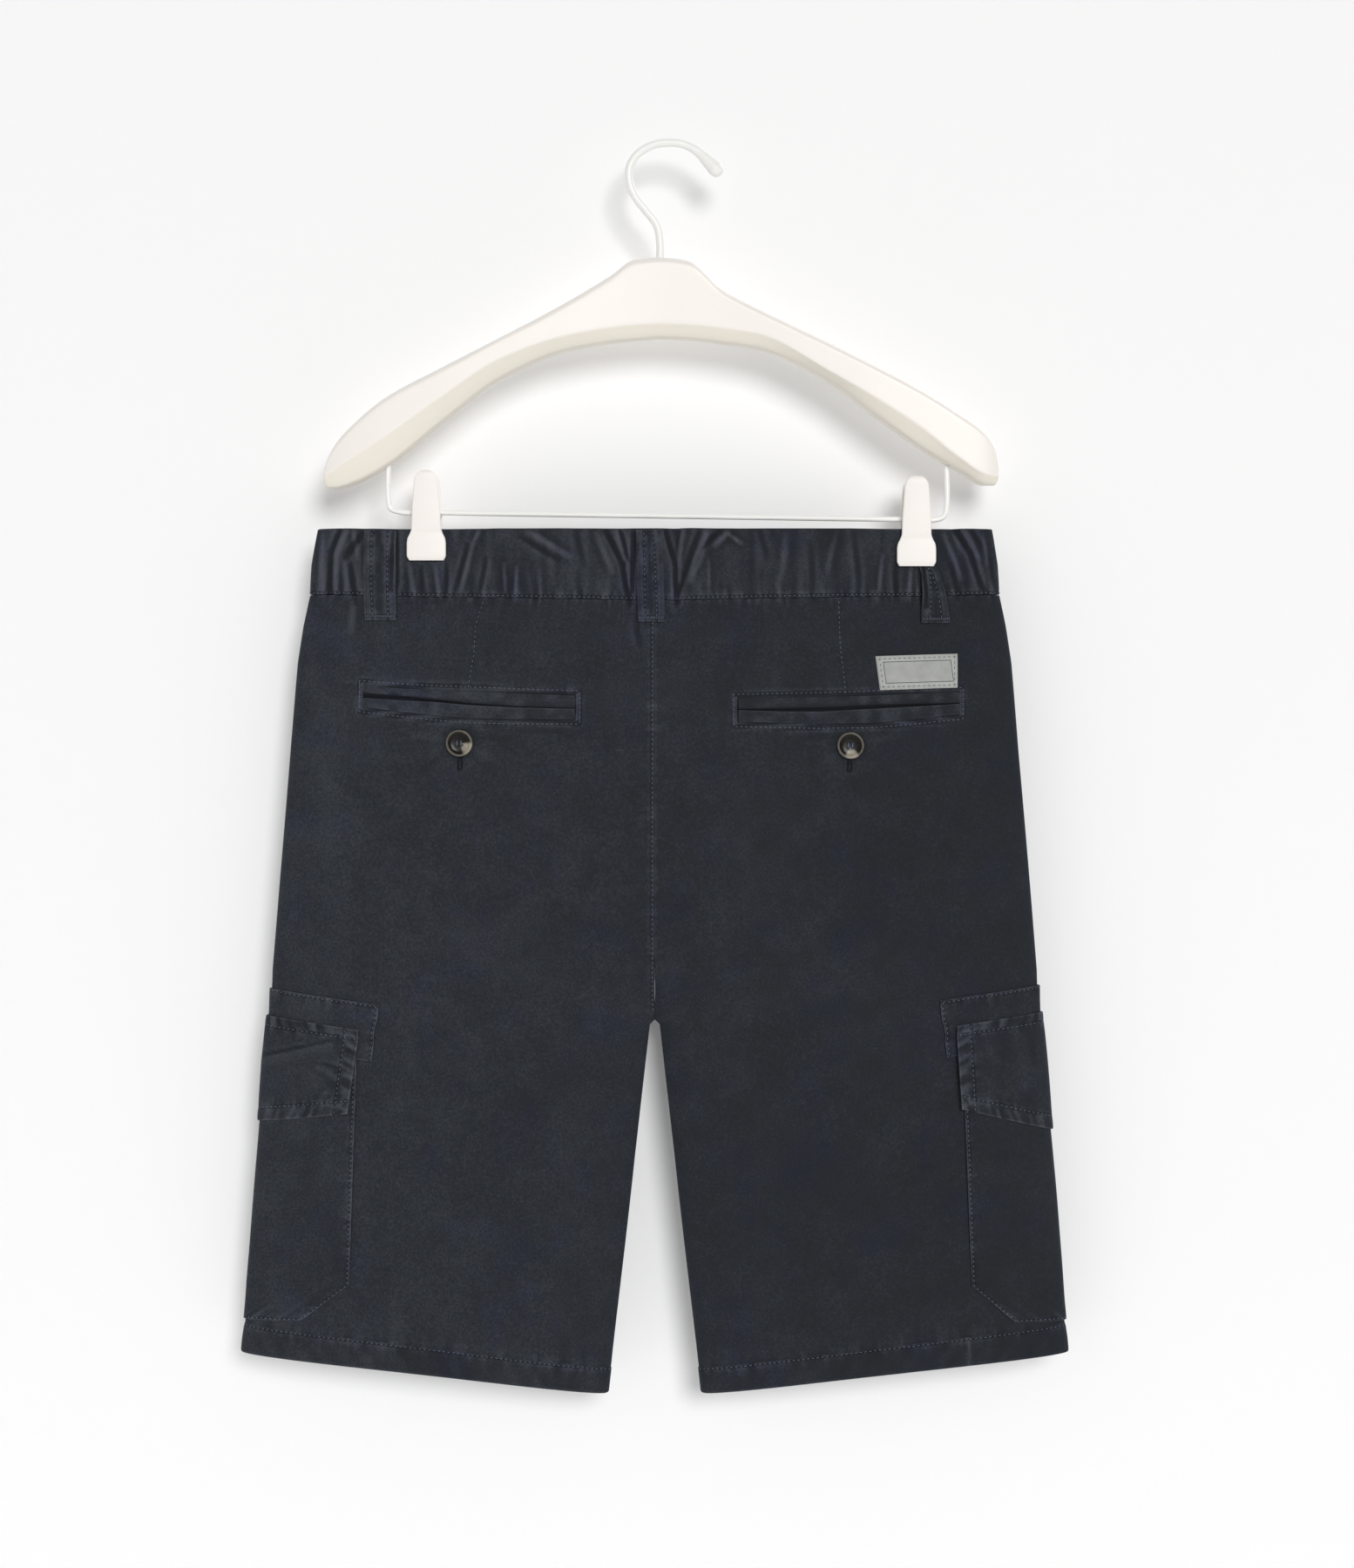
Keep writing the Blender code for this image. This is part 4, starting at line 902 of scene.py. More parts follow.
# %% [markdown]
# ## Belt loops
# A loop is a narrow strip with two rows of stitches, sewn in at the top of the band and tacked
# down below it. It bows out over the band. The loop at the right is caught under a clip, so it
# comes out narrow and fans towards its foot.

# %% Lay the belt loops
LOOP_WALL = 0.9


def upright_loop(x, half=7.0):
    """A loop's rows where nothing pulls it aside."""
    return tuple((x, z, half, off) for z, off in ((-241.0, 1.2), (-250.0, 2.4), (-275.0, 2.9), (-290.0, 1.9),
                                                  (-297.0, 0.9)))


BELT_LOOPS = {  # face, then rows of x, height, half width and stand-off
    "belt_loop_seat_left": (SEAT, ((-169.6, -241.0, 9.7, 1.2), (-169.0, -250.0, 9.7, 2.4),
                                   (-168.6, -275.0, 9.7, 2.9), (-168.8, -290.0, 9.7, 1.9),
                                   (-169.4, -297.0, 9.7, 0.9))),
    "belt_loop_seat_centre": (SEAT, ((-4.0, -241.0, 7.6, 1.4), (-3.4, -250.0, 8.0, 2.6),
                                     (-2.6, -275.0, 8.3, 2.9), (-2.2, -290.0, 8.3, 2.1),
                                     (-2.2, -298.0, 8.3, 0.9))),
    "belt_loop_seat_right": (SEAT, ((168.0, -241.0, 5.0, 0.4), (169.0, -262.0, 5.0, 0.4),
                                    (171.0, -268.0, 5.6, 1.1), (172.0, -280.0, 7.0, 2.3),
                                    (173.9, -298.5, 9.0, 0.9))),
    "belt_loop_fly_left": (FLY, upright_loop(-105.0)), "belt_loop_fly_right": (FLY, upright_loop(110.0))}


def loop_shape(piece):
    rows = [stitched(piece, side, 5.0, groove=0.25, height=0.10, reach=2.0, period=5.0, seed=seed)
            for side, seed in (("left", 61), ("right", 62))]
    lift, fade = (sum(part) for part in zip(*rows))
    foot = piece["height"] - piece["down"]
    tack = np.exp(-((foot - 2.6) / 1.0) ** 2)
    middle = np.abs(piece["across"] / piece["width"] - 0.5)
    hollow = -0.35 * np.exp(-(middle / 0.16) ** 2)
    wear = 0.35 * wander(piece["across"] / 3.0, piece["down"] / 6.0, 64) * np.exp(-piece["down"] / 22.0)
    # The tack's sunk line is painted darker as painted shade.
    return lift - 0.45 * tack + hollow, fade + wear + 0.15 * np.exp(-piece["edge"] / 1.2) - 0.2 * tack


for name, (face, rows) in BELT_LOOPS.items():
    table = np.array(rows)
    tall = table[0, 1] - table[-1, 1]
    z = (table[0, 1] - marks(tall, 1.0))[:, None]
    wide = marks(2 * table[:, 2].mean(), 0.9)
    aside = (2 * wide / wide[-1] - 1)[None, :]
    x = read(table[:, [1, 0]], z, 1) + read(table[:, [1, 2]], z, 1) * aside
    z = np.broadcast_to(z, x.shape)
    bow = read(table[:, [1, 3]], z, 1) + LOOP_WALL + 0.3 * (1 - aside ** 2)
    CLOTH[name] = sew(name + "_cloth", x, z, face, bow, LOOP_WALL, loop_shape)
    for side in ("left", "right"):
        stitch(trace(CLOTH[name], side, 5.0 if table[-1, 2] > 8 else 3.8), skip=(2.0, 4.0))
    for inset in (2.2, 3.1):
        stitch(trace(CLOTH[name], "foot", inset), "bar", skip=(0.8, 0.8))
print(len(BELT_LOOPS), "belt loops")

# %% [markdown]
# ## Welt pockets, label and fly
# A welt pocket is a slit with a narrow lip folded out of each edge, boxed in by stitches. The lips are small
# padded rolls. The slit between them is open, and its dark is painted shade on the panel behind and on the
# upper lip. A grey woven label is sewn over one pocket: it is left plain, with the thin frame that such
# labels have.

# %% Lay the welts
WELT_WALL, WELT_TALL, WELT_STEP = 0.9, 7.0, 0.9


def welt_shape(piece):
    share = piece["down"] / piece["height"]
    ripple = 0.16 * wander(piece["across"] / 6.5, share, int(abs(piece["x"][0, 0])) % 50)
    at_slit = np.exp(-(piece["height"] * (share if piece["lower"] else 1 - share)) / 0.7)
    lift = 0.45 * np.sqrt(np.clip(4 * share * (1 - share), 0, 1)) + ripple
    # Ripple ridges are painted lighter, part wear and part painted shade; the upper lip is painted darker
    # towards the slit as painted shade, and the lower lip's edge lighter.
    return lift, 0.04 + 0.8 * ripple + (0.25 if piece["lower"] else -0.5) * at_slit


for side_name, rows in WELTS.items():
    across = rows[0, 0] + marks(rows[-1, 0] - rows[0, 0], 1.4)
    top, slit, foot, gape = (np.interp(across, rows[:, 0], rows[:, k]) for k in (1, 2, 3, 4))
    for part, head, low in (("upper", top, slit + gape / 2), ("lower", slit - gape / 2, foot)):
        share_down = marks(WELT_TALL, WELT_STEP)[:, None] / WELT_TALL
        z = head[None, :] + (low - head)[None, :] * share_down
        x = np.broadcast_to(across, z.shape)
        name = f"welt_{part}_{side_name}"

        def shape(piece, lower=part == "lower"):
            piece["lower"] = lower
            return welt_shape(piece)

        CLOTH[name] = sew(name + "_cloth", x, z, SEAT, WELT_WALL + 0.1, WELT_WALL, shape, roll=1.4)
print("welts laid")

# %% The label's size and weave
LABEL = np.array(((137.0, -319.4), (187.6, -317.7), (187.6, -339.0), (139.8, -340.6)))
LABEL_WALL, LABEL_HEM, LABEL_WIDE, LABEL_TALL = 0.7, 1.9, 50.0, 21.2
FLY_PLACKET = np.array((  # height, edge past the centre, stitched edge
    (-285.5, 4.0, -36.0), (-330.0, 4.0, -36.0), (-375.0, 4.0, -36.0), (-410.0, 4.0, -34.5),
    (-428.0, 4.0, -29.0), (-440.0, 4.0, -19.0), (-446.0, 4.0, -7.0)))
w_share = marks(LABEL_WIDE, 1.0)[None, :, None] / LABEL_WIDE
h_share = marks(LABEL_TALL, 0.9)[:, None, None] / LABEL_TALL
label_head = (1 - w_share) * LABEL[0] + w_share * LABEL[1]
label_foot = (1 - w_share) * LABEL[3] + w_share * LABEL[2]
label_at = (1 - h_share) * label_head + h_share * label_foot

label_tree, w, given, result = new_group("woven label", {
    "Ground": (0.33, 0.335, 0.32, 1), "Line": (0.085, 0.09, 0.095, 1),
    "Width": LABEL_WIDE * MM, "Height": LABEL_TALL * MM})
woven = w.node("ShaderNodeUVMap", uv_map=CLOTH_UV).outputs[0]
axes = w.node("ShaderNodeSeparateXYZ")
w.links.new(woven, axes.inputs[0])
half_wide = w.math("MULTIPLY", given.outputs["Width"], 0.5)
half_tall = w.math("MULTIPLY", given.outputs["Height"], 0.5)
from_side = w.math("SUBTRACT", half_wide, w.math("ABSOLUTE", w.math("SUBTRACT", axes.outputs[0], half_wide)))
from_head = w.math("SUBTRACT", half_tall, w.math("ABSOLUTE", w.math("ADD", axes.outputs[1], half_tall)))
inset = w.math("SUBTRACT", w.math("MINIMUM", from_side, from_head), 0.0040)
line = w.math("LESS_THAN", w.math("ABSOLUTE", inset), 0.00022)
yarn = w.wave(woven, "Y", 520.0, 1.2)
cloudy = w.noise(w.node("ShaderNodeTexCoord").outputs["Object"], 150.0, 3.0, 0.6)
wear_and_shade = w.node("ShaderNodeAttribute", attribute_name="fade").outputs["Fac"]
bright = w.math("ADD", w.math("MULTIPLY", w.math("SUBTRACT", cloudy, 0.5), 0.7),
                w.math("MULTIPLY", w.math("SUBTRACT", yarn, 0.5), 0.25))
bright = w.math("ADD", w.math("ADD", bright, w.math("MULTIPLY", wear_and_shade, 0.6)), 0.5, True)
ground = w.mix(bright, (0.20, 0.205, 0.20, 1), (0.60, 0.61, 0.58, 1))
w.links.new(w.mix(line, w.mix(0.55, given.outputs["Ground"], ground), given.outputs["Line"]),
            result.inputs["Color"])
w.links.new(w.math("ADD", 0.62, w.math("MULTIPLY", cloudy, 0.3)), result.inputs["Roughness"])
w.links.new(w.bump(yarn, 0.6, 0.0001), result.inputs["Normal"])
label_weave = new_finish("grey label weave", label_tree, **{"Specular IOR Level": 0.3})
print("label group:", len(label_tree.nodes), "nodes")


# %% Lay the label and the fly placket
def label_shape(piece):
    rows = [stitched(piece, side, LABEL_HEM, groove=0.16, height=0.12, reach=2.0, period=4.0)
            for side in ALL_SIDES]
    lift, fade = (sum(part) for part in zip(*rows))
    return lift, 0.5 * fade + 0.4 * np.exp(-((piece["edge"] - 2.4) / 0.8) ** 2)


CLOTH["label"] = sew("label_cloth", label_at[..., 0], label_at[..., 1], SEAT, LABEL_WALL + 0.35, LABEL_WALL,
                     label_shape, material=label_weave)
for side in ALL_SIDES:
    stitch(trace(CLOTH["label"], side, LABEL_HEM), skip=(LABEL_HEM, LABEL_HEM))

z = (FLY_PLACKET[0, 0] - marks(FLY_PLACKET[0, 0] - FLY_PLACKET[-1, 0], 2.0))[:, None]
share = marks(40.0, 2.0)[None, :] / 40.0
x = read(FLY_PLACKET, z, 1) + (read(FLY_PLACKET, z, 2) - read(FLY_PLACKET, z, 1)) * share
z = np.broadcast_to(z, x.shape)
CLOTH["fly_placket"] = sew("fly_placket_cloth", x, z, FLY, 1.3, 1.0,
                           edge_stitched(("left", 1.8, 0.12, 6.0), ("right", 2.0, 0.18, 5.0)))
stitch(trace(CLOTH["fly_placket"], "right", 2.0), skip=(1.0, 1.0))
stitch(trace(CLOTH["fly_placket"], "right", 6.5), skip=(1.0, 8.0))
print("label and placket laid")

# %% [markdown]
# ## Cargo pockets
# A side pocket is sewn round the side of the leg: a stay band across its mouth, a pouch with cut
# lower corners, and a flap with a blunt point. The rows of each piece run from its edge over the
# seat, round the side fold, to its edge over the fly. Heights come from how far a point is from
# the fold, as on the flat pattern.

# %% Cargo pockets' sizes
PATCH_WALL, CARGO_OUT = 1.0, 0.5
CARGO = {  # height at the fold, reaches over the seat, the flap's point, the pouch's depth and cut
    LEFT: {"head": -526.3, "band": 68.8, "flap": 59.3, "flap_foot": 56.0, "point": 20.0,
           "pouch": 57.9, "pouch_foot": 65.9, "deep": 206.3, "cut": 29.0},
    RIGHT: {"head": -524.4, "band": 62.7, "flap": 55.0, "flap_foot": 55.6, "point": 31.0,
            "pouch": 51.4, "pouch_foot": 58.6, "deep": 209.0, "cut": 25.5}}
BAND_FLY_REACH, FLAP_FLY_REACH, POUCH_FLY_REACH = 112.0, 102.0, (103.0, 107.0)
BAND_TAPER, BAND_DROP, FLAP_FROM, FLAP_DEEP, FLAP_POINT = 1.5, 35.5, 16.7, 51.9, -24.0
POUCH_CUT, SQUARE_DROP, CARGO_LEAN = 23.5, 0.104, 0.04
print("pouches", [size["deep"] for size in CARGO.values()], "mm deep")


# %% Grids folded round the side
def cargo_grid(side, step, head, foot, seat_reach, fly_reach, tall):
    """x, z and face of a piece folded round the side, from its seat edge to its fly edge."""
    rows = marks(tall, step) / tall
    guess = head(np.zeros(1)) + (foot(np.zeros(1)) - head(np.zeros(1))) * rows
    inner, outer = read(INNER_LEG, guess, 1), read(OUTLINE, guess, 1)
    spans = []
    for face, reach in ((SEAT, seat_reach(rows)), (FLY, fly_reach(rows))):
        middle = len(rows) // 2
        span = outer[middle] - inner[middle]
        edge = 1 - reach[middle] / span
        shares = even_shares(guess[middle], 1.0, edge, step, (False, True))
        kept = (1 - shares) / (1 - edge)
        away = kept[None, :] * reach[:, None]
        spans.append((away[:, ::-1] if face == SEAT else away[:, 1:], face))
    x_rows, z_rows, faces = [], [], []
    for away, face in spans:
        over_seat = away * -face
        z = head(over_seat) + (foot(over_seat) - head(over_seat)) * rows[:, None]
        share = 1 - away / (outer - inner)[:, None]
        x_rows.append(across_at(side * share, z))
        z_rows.append(z)
        faces.append(np.full(z.shape, face))
    return np.hstack(x_rows), np.hstack(z_rows), np.hstack(faces)


def reaches(head, foot, cut=0.0, deep=200.0):
    """A reach that changes from head to foot, and is cut back at the foot."""
    start = 1 - POUCH_CUT / (deep - BAND_DROP)
    return lambda down: head + (foot - head) * down - cut * np.maximum(0.0, down - start) / (1 - start)


print("flap point", FLAP_POINT)

# %% Creases on the flaps, pouches and bands
FLAP_CREASES = {  # from across, down, to across, down, half width, height
    LEFT: ((16.0, 8.5, 38.0, 17.0, 1.0, -0.30), (34.0, 15.5, 60.0, 25.0, 1.0, -0.42),
           (18.0, 13.0, 58.0, 29.0, 4.5, 0.45), (5.0, 26.0, 19.0, 24.0, 0.9, -0.32),
           (6.0, 29.5, 22.0, 27.5, 2.2, 0.3), (6.0, 35.0, 14.0, 30.5, 2.0, 0.25),
           (12.0, 3.0, 4.0, 10.0, 2.0, 0.3)),
    RIGHT: ((38.0, 12.0, 41.0, 42.0, 5.0, 0.35), (30.0, 12.0, 25.0, 40.0, 5.0, -0.2),
            (18.0, 14.0, 24.0, 26.0, 3.0, 0.2), (10.0, 30.0, 28.0, 46.0, 4.0, 0.25),
            (46.0, 10.0, 48.0, 30.0, 3.0, -0.3))}
FLAP_TONE = {LEFT: -0.03, RIGHT: 0.06}


def flap_shape(piece):
    """Stitched all round well inside its edges, puckered outside the stitches, with its own creases."""
    lift, fade = edge_stitched(("left", 8.6, 0.30, 5.4), ("right", 8.6, 0.30, 5.4), ("head", 6.0, 0.34, 4.6),
                               ("foot", 8.4, 0.52, 5.0))(piece)
    across, down, up = piece["across"], piece["down"], piece["height"] - piece["down"]
    far = piece["width"] - across
    for run, away, reach, period, seed in ((across, down, 6.0, 2.6, 71), (across, up, 8.4, 2.7, 74),
                                           (down, across, 8.6, 3.0, 77), (down, far, 8.6, 3.0, 79)):
        ripple = wander((run + 0.35 * away) / period, away / 16.0, seed)
        ripple = ripple * ease(away, 1.15 * reach, 0.6 * reach)
        # Ripple ridges are painted lighter and hollows darker, part wear and part painted shade.
        lift, fade = lift + 0.26 * ripple, fade + 0.24 * ripple
    side = int(np.sign(piece["x"].mean()))
    for ax, ay, bx, by, half, height in FLAP_CREASES[side]:
        away, run = beside(across, down, ((ax, ay), (bx, by)))
        lift = lift + height * np.exp(-(away / half) ** 2)
    if side == LEFT:
        bump_at = np.hypot(across - 13.5, up - 11.5)
        knob = np.exp(-(bump_at / 5.6) ** 4)
        lift, fade = lift + 0.55 * knob, fade + 0.25 * knob * wander(across / 2.2, up / 2.4, 83)
    puffed = 0.6 * np.sin(np.pi * np.clip(down / piece["height"], 0, 1)) + 1.3 * np.exp(-(across / 6.0) ** 2)
    return lift + puffed, fade + FLAP_TONE[side]


def pouch_shape(piece):
    lift, fade = edge_stitched(("left", 1.4, 0.34, 4.4), ("right", 1.4, 0.34, 4.4),
                               ("foot", 1.4, 0.34, 4.6))(piece)
    slow = 0.5 * wander(piece["across"] / 28.0, piece["down"] / 45.0, 91)
    ribs = wander(piece["across"] / 5.0, piece["down"] / 30.0, 93) * ease(piece["down"], 120.0, 165.0)
    # Raised waves and ribs are painted a little lighter, part wear and part painted shade.
    return lift + slow + 0.12 * ribs, fade + 0.06 * slow + 0.05 * ribs - 0.02


def band_shape(piece):
    lift, fade = edge_stitched(("left", 1.4, 0.30, 4.6), ("right", 1.4, 0.30, 4.6),
                               ("head", 1.4, 0.34, 4.4))(piece)
    return lift, fade + 0.04


print("flap creases", [len(rows) for rows in FLAP_CREASES.values()])

# %% Lay the cargo pockets
for side, side_name in ((LEFT, "left"), (RIGHT, "right")):
    size = CARGO[side]

    def square(s, size=size):
        return size["head"] - SQUARE_DROP * np.abs(s) - CARGO_LEAN * s

    def flap_foot(s, size=size):
        reach = np.where(s > FLAP_POINT, size["flap"] - FLAP_POINT, FLAP_FLY_REACH + FLAP_POINT)
        deeper = size["point"] * np.maximum(0.0, 1 - np.abs(s - FLAP_POINT) / reach)
        return square(s) - FLAP_FROM - FLAP_DEEP - deeper

    def pouch_foot(s, size=size):
        return np.full(np.shape(s), size["head"] - size["deep"])

    for part, step, head, foot, seat, fly, tall, off, shape in (
            ("band", 1.5, square, lambda s: square(s) - BAND_DROP,
             reaches(size["band"], size["band"] - BAND_TAPER), reaches(BAND_FLY_REACH, BAND_FLY_REACH),
             BAND_DROP, CARGO_OUT, band_shape),
            ("pouch", 1.7, lambda s: square(s) - BAND_DROP - GAP, pouch_foot,
             reaches(size["pouch"], size["pouch_foot"], size["cut"], size["deep"]),
             reaches(*POUCH_FLY_REACH, size["cut"], size["deep"]), size["deep"] - BAND_DROP, CARGO_OUT,
             pouch_shape),
            ("flap", 1.3, lambda s: square(s) - FLAP_FROM, flap_foot,
             reaches(size["flap"], size["flap_foot"]), reaches(FLAP_FLY_REACH, FLAP_FLY_REACH),
             60.0, CARGO_OUT + PATCH_WALL + 0.5, flap_shape)):
        x, z, faces = cargo_grid(side, step, head, foot, seat, fly, tall)
        name = f"cargo_{part}_{side_name}"
        CLOTH[name] = sew(name + "_cloth", x, z, faces, off + PATCH_WALL, PATCH_WALL, shape, wear=0.42)
        rows = {"band": (("left", 1.4), ("right", 1.4), ("head", 1.4)),
                "pouch": (("left", 1.4), ("right", 1.4), ("foot", 1.4)),
                "flap": (("left", 8.6), ("right", 8.6), ("head", 6.0), ("foot", 8.4))}[part]
        for edge, inset in rows:
            stitch(trace(CLOTH[name], edge, inset), skip=(2.0, 2.0))
        print(name, CLOTH[name]["skin"].shape)

# %% [markdown]
# ## Stitches
# A row of stitches repeats one short shape along a path, which is work for Geometry Nodes. The
# tree makes a curve of the path, cuts it into even steps, and puts a small capsule at each step,
# turned along the thread and lying on the cloth. Seams on the panels follow the seams' table,
# and those near an edge follow the lines kept while the pieces were laid.

# %% The stitch tree
stitch_tree = bpy.data.node_groups.new("stitches", "GeometryNodeTree")
for label, kind, value in (("Geometry", "NodeSocketGeometry", None), ("Pitch", "NodeSocketFloat", 0.003),
                           ("Length", "NodeSocketFloat", 0.0022), ("Thickness", "NodeSocketFloat", 0.0004),
                           ("Turn", "NodeSocketFloat", 0.0), ("Unevenness", "NodeSocketFloat", 0.12),
                           ("Seed", "NodeSocketInt", 7), ("Material", "NodeSocketMaterial", None)):
    new_socket(stitch_tree, label, kind, value=value)
new_socket(stitch_tree, "Geometry", "NodeSocketGeometry", out=True)
w = Wiring(stitch_tree)
given, result = w.node("NodeGroupInput"), w.node("NodeGroupOutput")
path = w.node("GeometryNodeMeshToCurve", Mesh=given.outputs["Geometry"])
steps = w.node("GeometryNodeResampleCurve", mode="LENGTH", Curve=path.outputs[0],
               Length=given.outputs["Pitch"])
tangent = w.node("GeometryNodeInputTangent")
upright = w.node("GeometryNodeInputNamedAttribute", data_type="FLOAT_VECTOR", Name="lift")
forward = w.node("FunctionNodeAlignRotationToVector", axis="X", Vector=tangent.outputs[0])
lying_flat = w.node("FunctionNodeAlignRotationToVector", axis="Z", pivot_axis="X",
                    Rotation=forward.outputs[0], Vector=upright.outputs["Attribute"])
slant = w.node("FunctionNodeRandomValue", data_type="FLOAT", Seed=given.outputs["Seed"])
w.feed(slant.inputs[2], w.math("MULTIPLY", given.outputs["Unevenness"], -1.0))
w.feed(slant.inputs[3], given.outputs["Unevenness"])
swing = w.node("ShaderNodeCombineXYZ", Z=w.math("ADD", given.outputs["Turn"], slant.outputs[1]))
swung = w.node("FunctionNodeEulerToRotation", Euler=swing.outputs[0])
turned_on = w.node("FunctionNodeRotateRotation", rotation_space="LOCAL", Rotation=lying_flat.outputs[0],
                   Rotate_By=swung.outputs[0])
ball = w.node("GeometryNodeMeshUVSphere", Segments=6, Rings=4, Radius=0.5)
slim = w.node("ShaderNodeCombineXYZ", X=given.outputs["Length"], Y=given.outputs["Thickness"],
              Z=given.outputs["Thickness"])
capsule = w.node("GeometryNodeTransform", Geometry=ball.outputs[0], Scale=slim.outputs[0])
put_on = w.node("GeometryNodeInstanceOnPoints", Points=steps.outputs[0], Instance=capsule.outputs[0],
                Rotation=turned_on.outputs[0])
real = w.node("GeometryNodeRealizeInstances", Geometry=put_on.outputs[0])
soft = w.node("GeometryNodeSetShadeSmooth", Geometry=real.outputs[0])
dressed = w.node("GeometryNodeSetMaterial", Geometry=soft.outputs[0], Material=given.outputs["Material"])
w.feed(result.inputs[0], dressed.outputs[0])
print("stitch tree:", len(stitch_tree.nodes), "nodes")


# %% Running stitches along lines
def run_stitches(name, lines, material, **values):
    """Stitches along lines of (points, normals) in millimetres, as one plain mesh."""
    points, normals, edges = [], [], []
    for line, upward in lines:
        base = len(points)
        points += (line * MM).tolist()
        normals += upward.tolist()
        edges += [(base + i, base + i + 1) for i in range(len(line) - 1)]
    mesh = bpy.data.meshes.new(name + " path")
    mesh.from_pydata(points, edges, [])
    lift = mesh.attributes.new("lift", "FLOAT_VECTOR", "POINT")
    lift.data.foreach_set("vector", np.array(normals, dtype=np.float32).ravel())
    maker = new_piece(name + " maker", mesh, material)
    modifier = maker.modifiers.new("stitches", "NODES")
    modifier.node_group = stitch_tree
    sockets = {s.name: s.identifier for s in stitch_tree.interface.items_tree if s.in_out == "INPUT"}
    modifier[sockets["Material"]] = material
    for key, value in values.items():
        modifier[sockets[key]] = value
    made = bpy.data.meshes.new_from_object(maker.evaluated_get(bpy.context.evaluated_depsgraph_get()))
    bpy.data.objects.remove(maker)
    made.name = name
    print(name, len(made.polygons), "faces")
    return new_piece(name, made, material)


# %% Stitch every seam
def seam_line(face, line, lift=0.28):
    """A line of stitches over a panel, every millimetre, lifted as the panel is."""
    corners = np.array(line)
    travelled = np.concatenate([[0], np.cumsum(np.hypot(*np.diff(corners, axis=0).T))])
    at = np.arange(0.0, travelled[-1], 1.0)
    x, z = np.interp(at, travelled, corners[:, 0]), np.interp(at, travelled, corners[:, 1])
    side = 1e-9 + x if abs(x.mean()) < 1 else x
    piece = {"x": side, "z": z, "face": np.full(x.shape, face)}
    own, _ = panel_shape(piece)
    return laid(side, z, piece["face"], 0.0, creases(side, z, piece["face"]) + own + lift)


STITCHES["fine"] += [seam_line(face, line) for face, line, *_, sewn in SEAMS if sewn]
for rows in WELTS.values():
    for x, reach in ((rows[0, 0] - 1.4, 1), (rows[-1, 0] + 1.4, -1)):
        near_row = rows[0] if reach > 0 else rows[-1]
        for aside in (0.0, 1.5):
            STITCHES["bar"].append(seam_line(SEAT, ((x - aside * reach, near_row[1] + 1.0),
                                                    (x - aside * reach, near_row[3] - 1.0)), 0.34))
PIECES = {
    "stitches_fine": run_stitches("stitches_fine", STITCHES["fine"], thread, Pitch=0.0030, Length=0.0018,
                                  Thickness=0.00055),
    "stitches_bar": run_stitches("stitches_bar", STITCHES["bar"], thread, Pitch=0.00095, Length=0.0017,
                                 Thickness=0.00038, Turn=1.35, Unevenness=0.2, Seed=3)}

# %% [markdown]
# ## Buttons and buttonholes
# A polished dark horn button closes each pocket. It is turned: a dished face inside a round rim,
# with four holes that the thread crosses. The buttonhole is a slit whose edges are bound by
# close stitches laid square to it, and part of it shows above and below the button.

# %% Buttonholes
lines = []
for x0, z0 in BUTTONS.values():
    for aside in (-0.95, 0.95):
        lines.append(seam_line(SEAT, ((x0 + aside, z0 + 8.5), (x0 + 0.7 * aside, z0 - 4.0),
                                      (x0 + 1.25 * aside, z0 - 15.5)), 0.34))
    lines.append(seam_line(SEAT, ((x0 - 1.3, z0 - 16.2), (x0 + 1.3, z0 - 16.2)), 0.34))
PIECES["buttonholes"] = run_stitches("buttonholes", lines, dark_thread, Pitch=0.00062, Length=0.0017,
                                     Thickness=0.00055, Turn=math.pi / 2, Unevenness=0.10, Seed=5)

# %% Buttons
HOLE_R, HOLE_AT, BUTTON_OFF, WAIST_BUTTON = 0.85, 1.77, 0.9, (6.0, -261.5)
BUTTON_PROFILE = (  # radius and height
    (0.0, 0.0), (5.0, 0.0), (6.6, 0.15), (7.7, 0.6), (8.25, 1.2), (8.3, 1.75), (8.15, 2.25), (7.8, 2.65),
    (7.3, 2.85), (6.8, 2.8), (6.35, 2.5), (5.9, 2.1), (5.2, 1.8), (3.5, 1.62), (0.0, 1.55))

horn_tree, w, given, result = new_group("polished horn", {
    "Dark": (0.006, 0.005, 0.004, 1), "Highlight": (0.30, 0.27, 0.22, 1), "Streaks": 1.0})
place = w.node("ShaderNodeTexCoord").outputs["Object"]
painted_highlight = w.node("ShaderNodeAttribute", attribute_name="painted_highlight").outputs["Fac"]
smoky = w.noise(place, 420.0, 4.0, 0.6)
# The attribute's wedge and ring are mixed towards the pale colour: painted highlights.
share = w.math("MULTIPLY", w.math("MULTIPLY", painted_highlight, given.outputs["Streaks"]),
               w.math("ADD", 0.4, w.math("MULTIPLY", smoky, 1.1)), True)
w.links.new(w.mix(share, given.outputs["Dark"], given.outputs["Highlight"]), result.inputs["Color"])
w.links.new(w.math("ADD", 0.26, w.math("MULTIPLY", smoky, 0.14)), result.inputs["Roughness"])
w.links.new(w.bump(smoky, 0.05, 0.0001), result.inputs["Normal"])
horn = new_finish("dark horn", horn_tree, **{"Coat Weight": 0.05, "Coat Roughness": 0.10,
                                             "Specular IOR Level": 0.20})


print("horn group:", len(horn_tree.nodes), "nodes")


